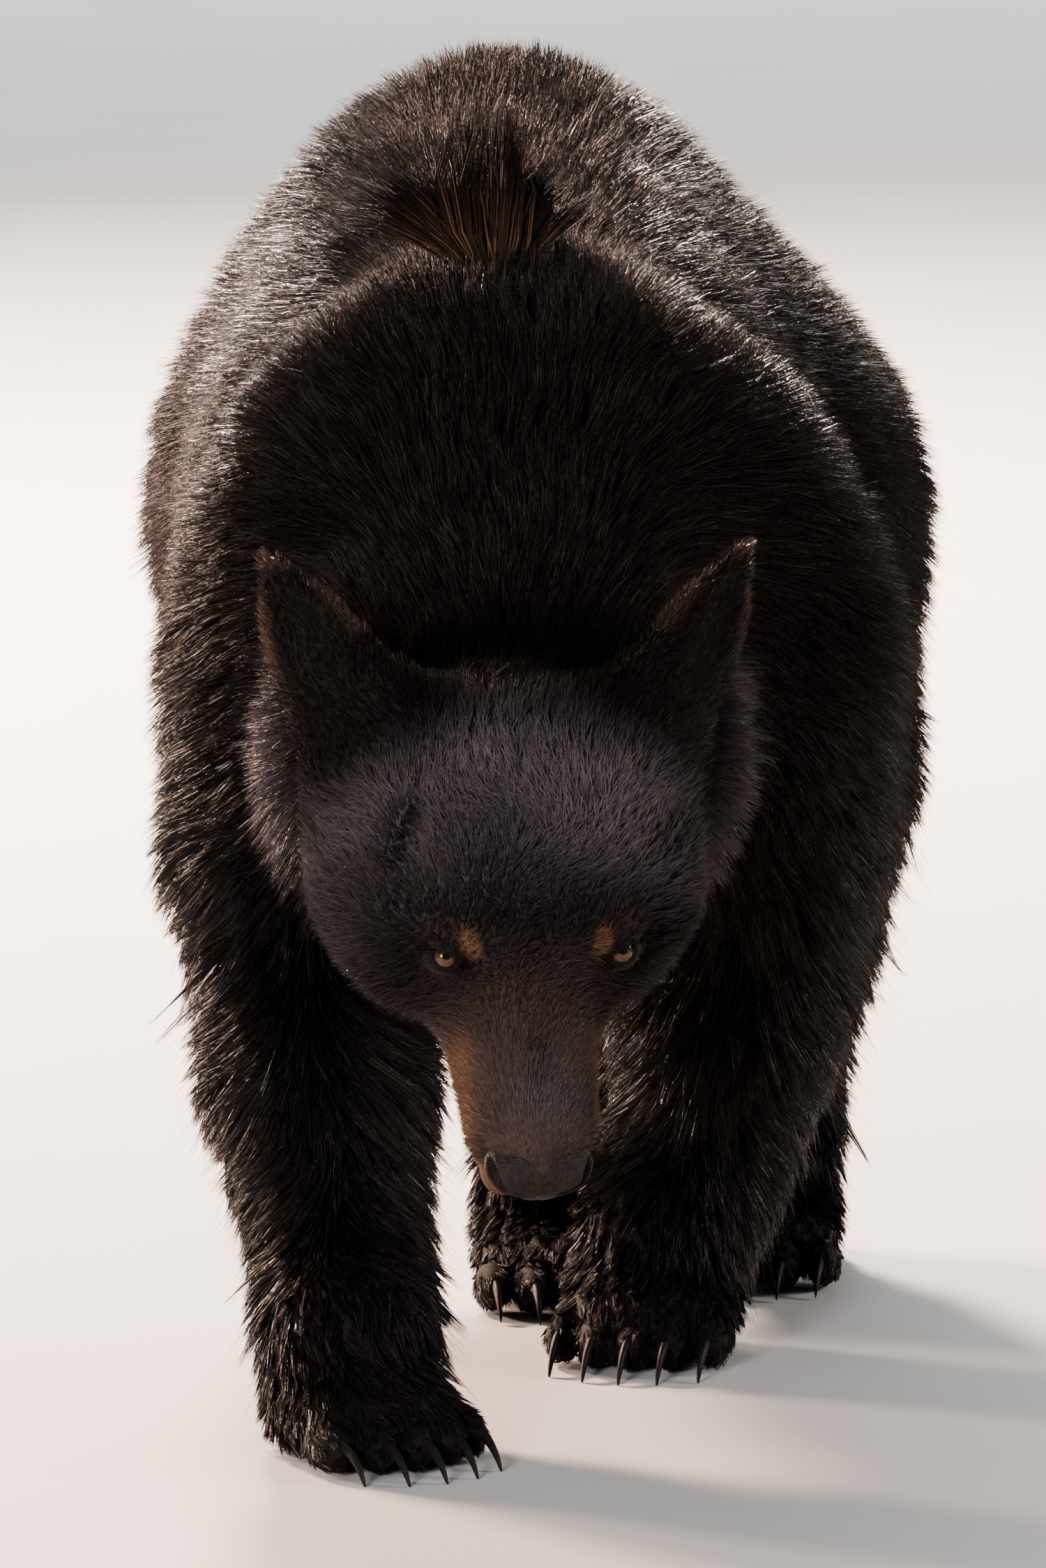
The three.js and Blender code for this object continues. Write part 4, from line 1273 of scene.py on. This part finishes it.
crest = np.repeat(crest, CREST["density"])
inner, fan = crest_spines(at[crest] + RNG.normal(0, 1, (len(crest), 3)) * (1, 1, 0))
fan = clumped(fan, np.full(len(crest), CREST["pull"]), CREST["clump"])
lift = fan[:, :, 2] - fan[:, :1, 2]
room = CREST["top"] - fan[:, 0, 2]
fan[:, :, 2] = fan[:, :1, 2] + lift * np.minimum(1, room / lift.max(axis=1))[:, None]
brown = np.outer(inner, np.repeat(CREST_FADE, (3, 3, 3, 1)))
none = np.zeros(len(crest))
crest_marks = {"tan": 0.7 * brown, "brown": brown, "velvet_sheen": none, "wet": none}
coat_piece("crest", crest, fan, np.full(len(crest), CREST["width"]), RNG.random(len(crest)) * 0.75,
           crest_marks, CREST_FUR)

# ---- eyes, nose, claws


def eyeball(s, word):
    """A sphere about the line of sight, with the swell of the cornea."""
    rings_, sides_, swell = 40, 40, 0.06
    look = HEAD_FRAME.then(look_frame(s, GAZE))
    turns = np.linspace(0, 1, rings_ + 1)[1:-1] ** 1.3 * math.pi
    ways = np.arange(sides_) * 2 * math.pi / sides_
    a, w = [g.ravel() for g in np.meshgrid(turns, ways, indexing="ij")]
    radius = EYE["radius"] * (1 + swell * (1 - ease(a, 0.25, 0.75)))
    body = radius[:, None] * np.stack([np.sin(a) * np.cos(w), -np.cos(a), np.sin(a) * np.sin(w)], 1)
    front, back = (0, -EYE["radius"] * (1 + swell), 0), (0, EYE["radius"], 0)
    vertices = np.concatenate([[front], body, [back]])
    faces = tube_faces(len(turns), sides_, 1)
    last = 1 + (len(turns) - 1) * sides_
    for j in range(sides_):
        after = (j + 1) % sides_
        faces += [(0, 1 + j, 1 + after), (len(vertices) - 1, last + after, last + j)]
    mesh_ = mesh_from(f"eyeball_{word}", packed(look.outside(vertices)), faces)
    ring = np.where(a < math.pi / 2, np.sin(a), 1 + a - math.pi / 2)
    mark(mesh_, "ring", np.concatenate([[0], ring, [3]]))
    mark(mesh_, "around", np.concatenate([[0], w, [0]]))
    mesh_.materials.append(EYE_WET)
    piece(f"eyeball_{word}", mesh_, [f"eye_{word}"])


EYE_WET = eye_material()
for word, s in SIDES.items():
    eyeball(s, word)


def nets_of(field, low, high, cell):
    """A closed mesh of any small field."""
    low, high = np.array(low, float), np.array(high, float)
    counts = np.ceil((high - low) / cell).astype(int) + 1
    axes = [low[a] + cell * np.arange(counts[a]) for a in range(3)]
    points = np.stack(np.meshgrid(*axes, indexing="ij"), -1).reshape(-1, 3)
    values = field(points).reshape(counts)
    fill_pinches(values, cell)
    vertices, quads = surface_nets(values, low, cell)
    for _ in range(3):
        d = field(vertices)
        g = np.stack([(field(vertices + e) - field(vertices - e)) / 0.6 for e in 0.3 * np.eye(3)], 1)
        step = g * (d / np.maximum((g**2).sum(1), 0.3))[:, None]
        vertices = vertices - np.clip(step, -cell / 3, cell / 3)
    return vertices, quads


# The left nostril's comma, from the side of the pad round to its front: points and the slit's radius.
NOSTRIL = [
    (36, -209, 0, 1.4), (34, -219, 0, 3.0), (29, -229, -4, 4.4), (20, -237, -9, 5.0), (12, -241, -13, 3.6),
]
NOSE_BOX, NOSE_CELL = ((-40, -246, -40), (40, -194, 22)), 1.3
# The black round each nostril is painted shade.
NOSTRIL_SHADE_REACH = 6.5  # how far round the nostril's line the leather is black


def nose_pad():
    """The leather of the nose: a broad pad with a comma-shaped nostril each side and a groove below."""
    slits = list(zip(NOSTRIL, NOSTRIL[1:]))
    masses = [
        ball((0, -220, -7), (31, 18, 18), 0, 8, "nose"),
        ball((0, -228, -15), (19, 11, 15), 0, 8, "nose"),
        *both(lambda s: [
            ball((s * 18, -228, -7), (12, 11, 12), 0, 6, "nose"),
            ball((s * 26, -218, -8), (9, 12, 11), 0, 5, "nose"),
            *[limb(on_side(s, a), on_side(s, b), a[3], b[3], 0, 2.5, "nose", hollow=True) for a, b in slits],
        ]),
        limb((0, -241, -13), (0, -238, -32), 1.2, 1.4, 0, 3, "nose", hollow=True),
    ]
    vertices, quads = nets_of(Field(masses), *NOSE_BOX, NOSE_CELL)
    mesh_ = mesh_from("nose_leather", packed(HEAD_FRAME.outside(vertices)), quads)
    left = np.abs(vertices) * (1, 0, 0) + vertices * (0, 1, 1)
    mark(mesh_, "nostril_shade", np.max([near_line(left, a[:3], b[:3], NOSTRIL_SHADE_REACH) for a, b in slits], axis=0))
    mesh_.materials.append(nose_material())
    piece("nose_leather", mesh_, ["nose_pad"])


nose_pad()


# A claw's radius at its root, its width for its height, how far it bends down and how deep it is rooted.
CLAW = {"radius": 5.4, "narrow": 0.66, "bend": 64, "sunk": 12, "rise": 4.0, "rings": 14, "sides": 12}


def claw_mesh(name):
    """The five claws of one paw, each curved forward and down from its toe to a point."""
    kind = LEGS[name]["kind"]
    rings_, sides_ = CLAW["rings"], CLAW["sides"]
    step = (PAW[kind]["claw"] + CLAW["sunk"]) / rings_
    verts, faces, along = [], [], []
    for x, y, z in toes_of(kind):
        spine = np.array([x, y - TOE["size"][1] + CLAW["sunk"], z + CLAW["rise"]])
        base = len(verts)
        for i in range(rings_ + 1):
            t = i / rings_
            lean = math.radians(CLAW["bend"] * t)
            up = np.array([0, -math.sin(lean), math.cos(lean)])
            if i:
                spine = spine + np.array([0, -math.cos(lean), -math.sin(lean)]) * step
            size = CLAW["radius"] * (1 - t) ** 0.55 if i < rings_ else 0.15
            for w in np.arange(sides_) * 2 * math.pi / sides_:
                flat = 1.0 if math.cos(w) > 0 else 0.8
                wide = np.array([size * CLAW["narrow"] * math.sin(w), 0, 0])
                verts.append(spine + up * size * math.cos(w) * flat + wide)
                along.append(t)
        faces += tube_faces(rings_ + 1, sides_, base)
        tip = base + rings_ * sides_
        for j in range(1, sides_ - 1):
            faces += [(base, base + j, base + j + 1), (tip, tip + j + 1, tip + j)]
    points = paw_frame(name).outside(np.array(verts))
    points[:, 2] = np.maximum(points[:, 2], 0.2)
    mesh_ = mesh_from(f"claws_{name}", packed(points), faces)
    mark(mesh_, "along", along)
    mesh_.materials.append(CLAW_HORN)
    piece(f"claws_{name}", mesh_)


CLAW_HORN = claw_material()
for name in LEGS:
    claw_mesh(name)

# ---- floor, light and camera


# Metres from here on. Each lamp: where it stands, its width, power and colour.
FLOOR_HALF = 60
LAMPS = {
    "key": ((-2.8, 3.5, 3.3), 0.8, 1550, (1.0, 0.66, 0.48)),
    "behind": ((-0.7, 4.8, 3.1), 0.8, 2400, (1.0, 0.76, 0.64)),
    "edge_right": ((-3.6, 2.4, 1.1), 0.6, 600, (1.0, 0.67, 0.52)),
    "edge_left": ((3.6, 2.2, 1.2), 0.6, 25, (1.0, 0.80, 0.70)),
    "front": ((-1.9, -6.0, 1.9), 1.6, 600, (1.0, 0.97, 0.98)),
    "side_left": ((4.4, 0.2, 2.6), 1.8, 190, (1.0, 0.95, 0.94)),
    "backdrop": ((0.0, 13.0, 7.0), 6.0, 2600, (1.0, 1.0, 1.0)),
}
LAMP_AIM = (0, -0.3, 0.4)
BACKDROP_AIM = (0, 12.5, 0)
SKY = {"colour": rgb(0.80, 0.82, 0.86), "strength": 0.20}
CAMERA = {
    "at": (-0.010, -10.508, 2.031), "aim": (-0.010, -0.3352, 0.420),
    "lens": 357.5, "sensor": 36, "far": 200,
}


def floor():
    n = Nodes("floor_pale")
    fine = n.noise(n.place(), 3.0, 2.0)
    pale = n.mix(n.span(fine, 0.3, 0.7), rgb(0.40, 0.395, 0.385), rgb(0.42, 0.415, 0.405))
    n.set(base_color=pale, roughness=0.9)
    corners = [(x * FLOOR_HALF, y * FLOOR_HALF, 0) for x, y in ((-1, -1), (1, -1), (1, 1), (-1, 1))]
    mesh_ = mesh_from("floor", corners, [(0, 1, 2, 3)])
    mesh_.materials.append(n.material)
    obj = add_object("floor", mesh_)


def turn_to(obj, at, aim):
    obj.location = at
    obj.rotation_euler = (Vector(aim) - Vector(at)).to_track_quat("-Z", "Y").to_euler()


def lamp(name, at, size, power, colour):
    data = bpy.data.lights.new(name, "AREA")
    data.shape, data.size, data.energy, data.color = "DISK", size, power, colour
    obj = add_object(name, data)
    turn_to(obj, at, BACKDROP_AIM if name == "backdrop" else LAMP_AIM)
    obj.visible_camera = False


def sky():
    world = bpy.data.worlds.new("studio")
    world.use_nodes = True
    background = world.node_tree.nodes["Background"]
    background.inputs[0].default_value = SKY["colour"]
    background.inputs[1].default_value = SKY["strength"]
    bpy.context.scene.world = world


def camera():
    data = bpy.data.cameras.new("camera")
    data.lens, data.sensor_width, data.clip_end = CAMERA["lens"], CAMERA["sensor"], CAMERA["far"]
    obj = add_object("camera", data)
    turn_to(obj, CAMERA["at"], CAMERA["aim"])
    bpy.context.scene.camera = obj


floor()
for name, measures_ in LAMPS.items():
    lamp(name, *measures_)
sky()
camera()
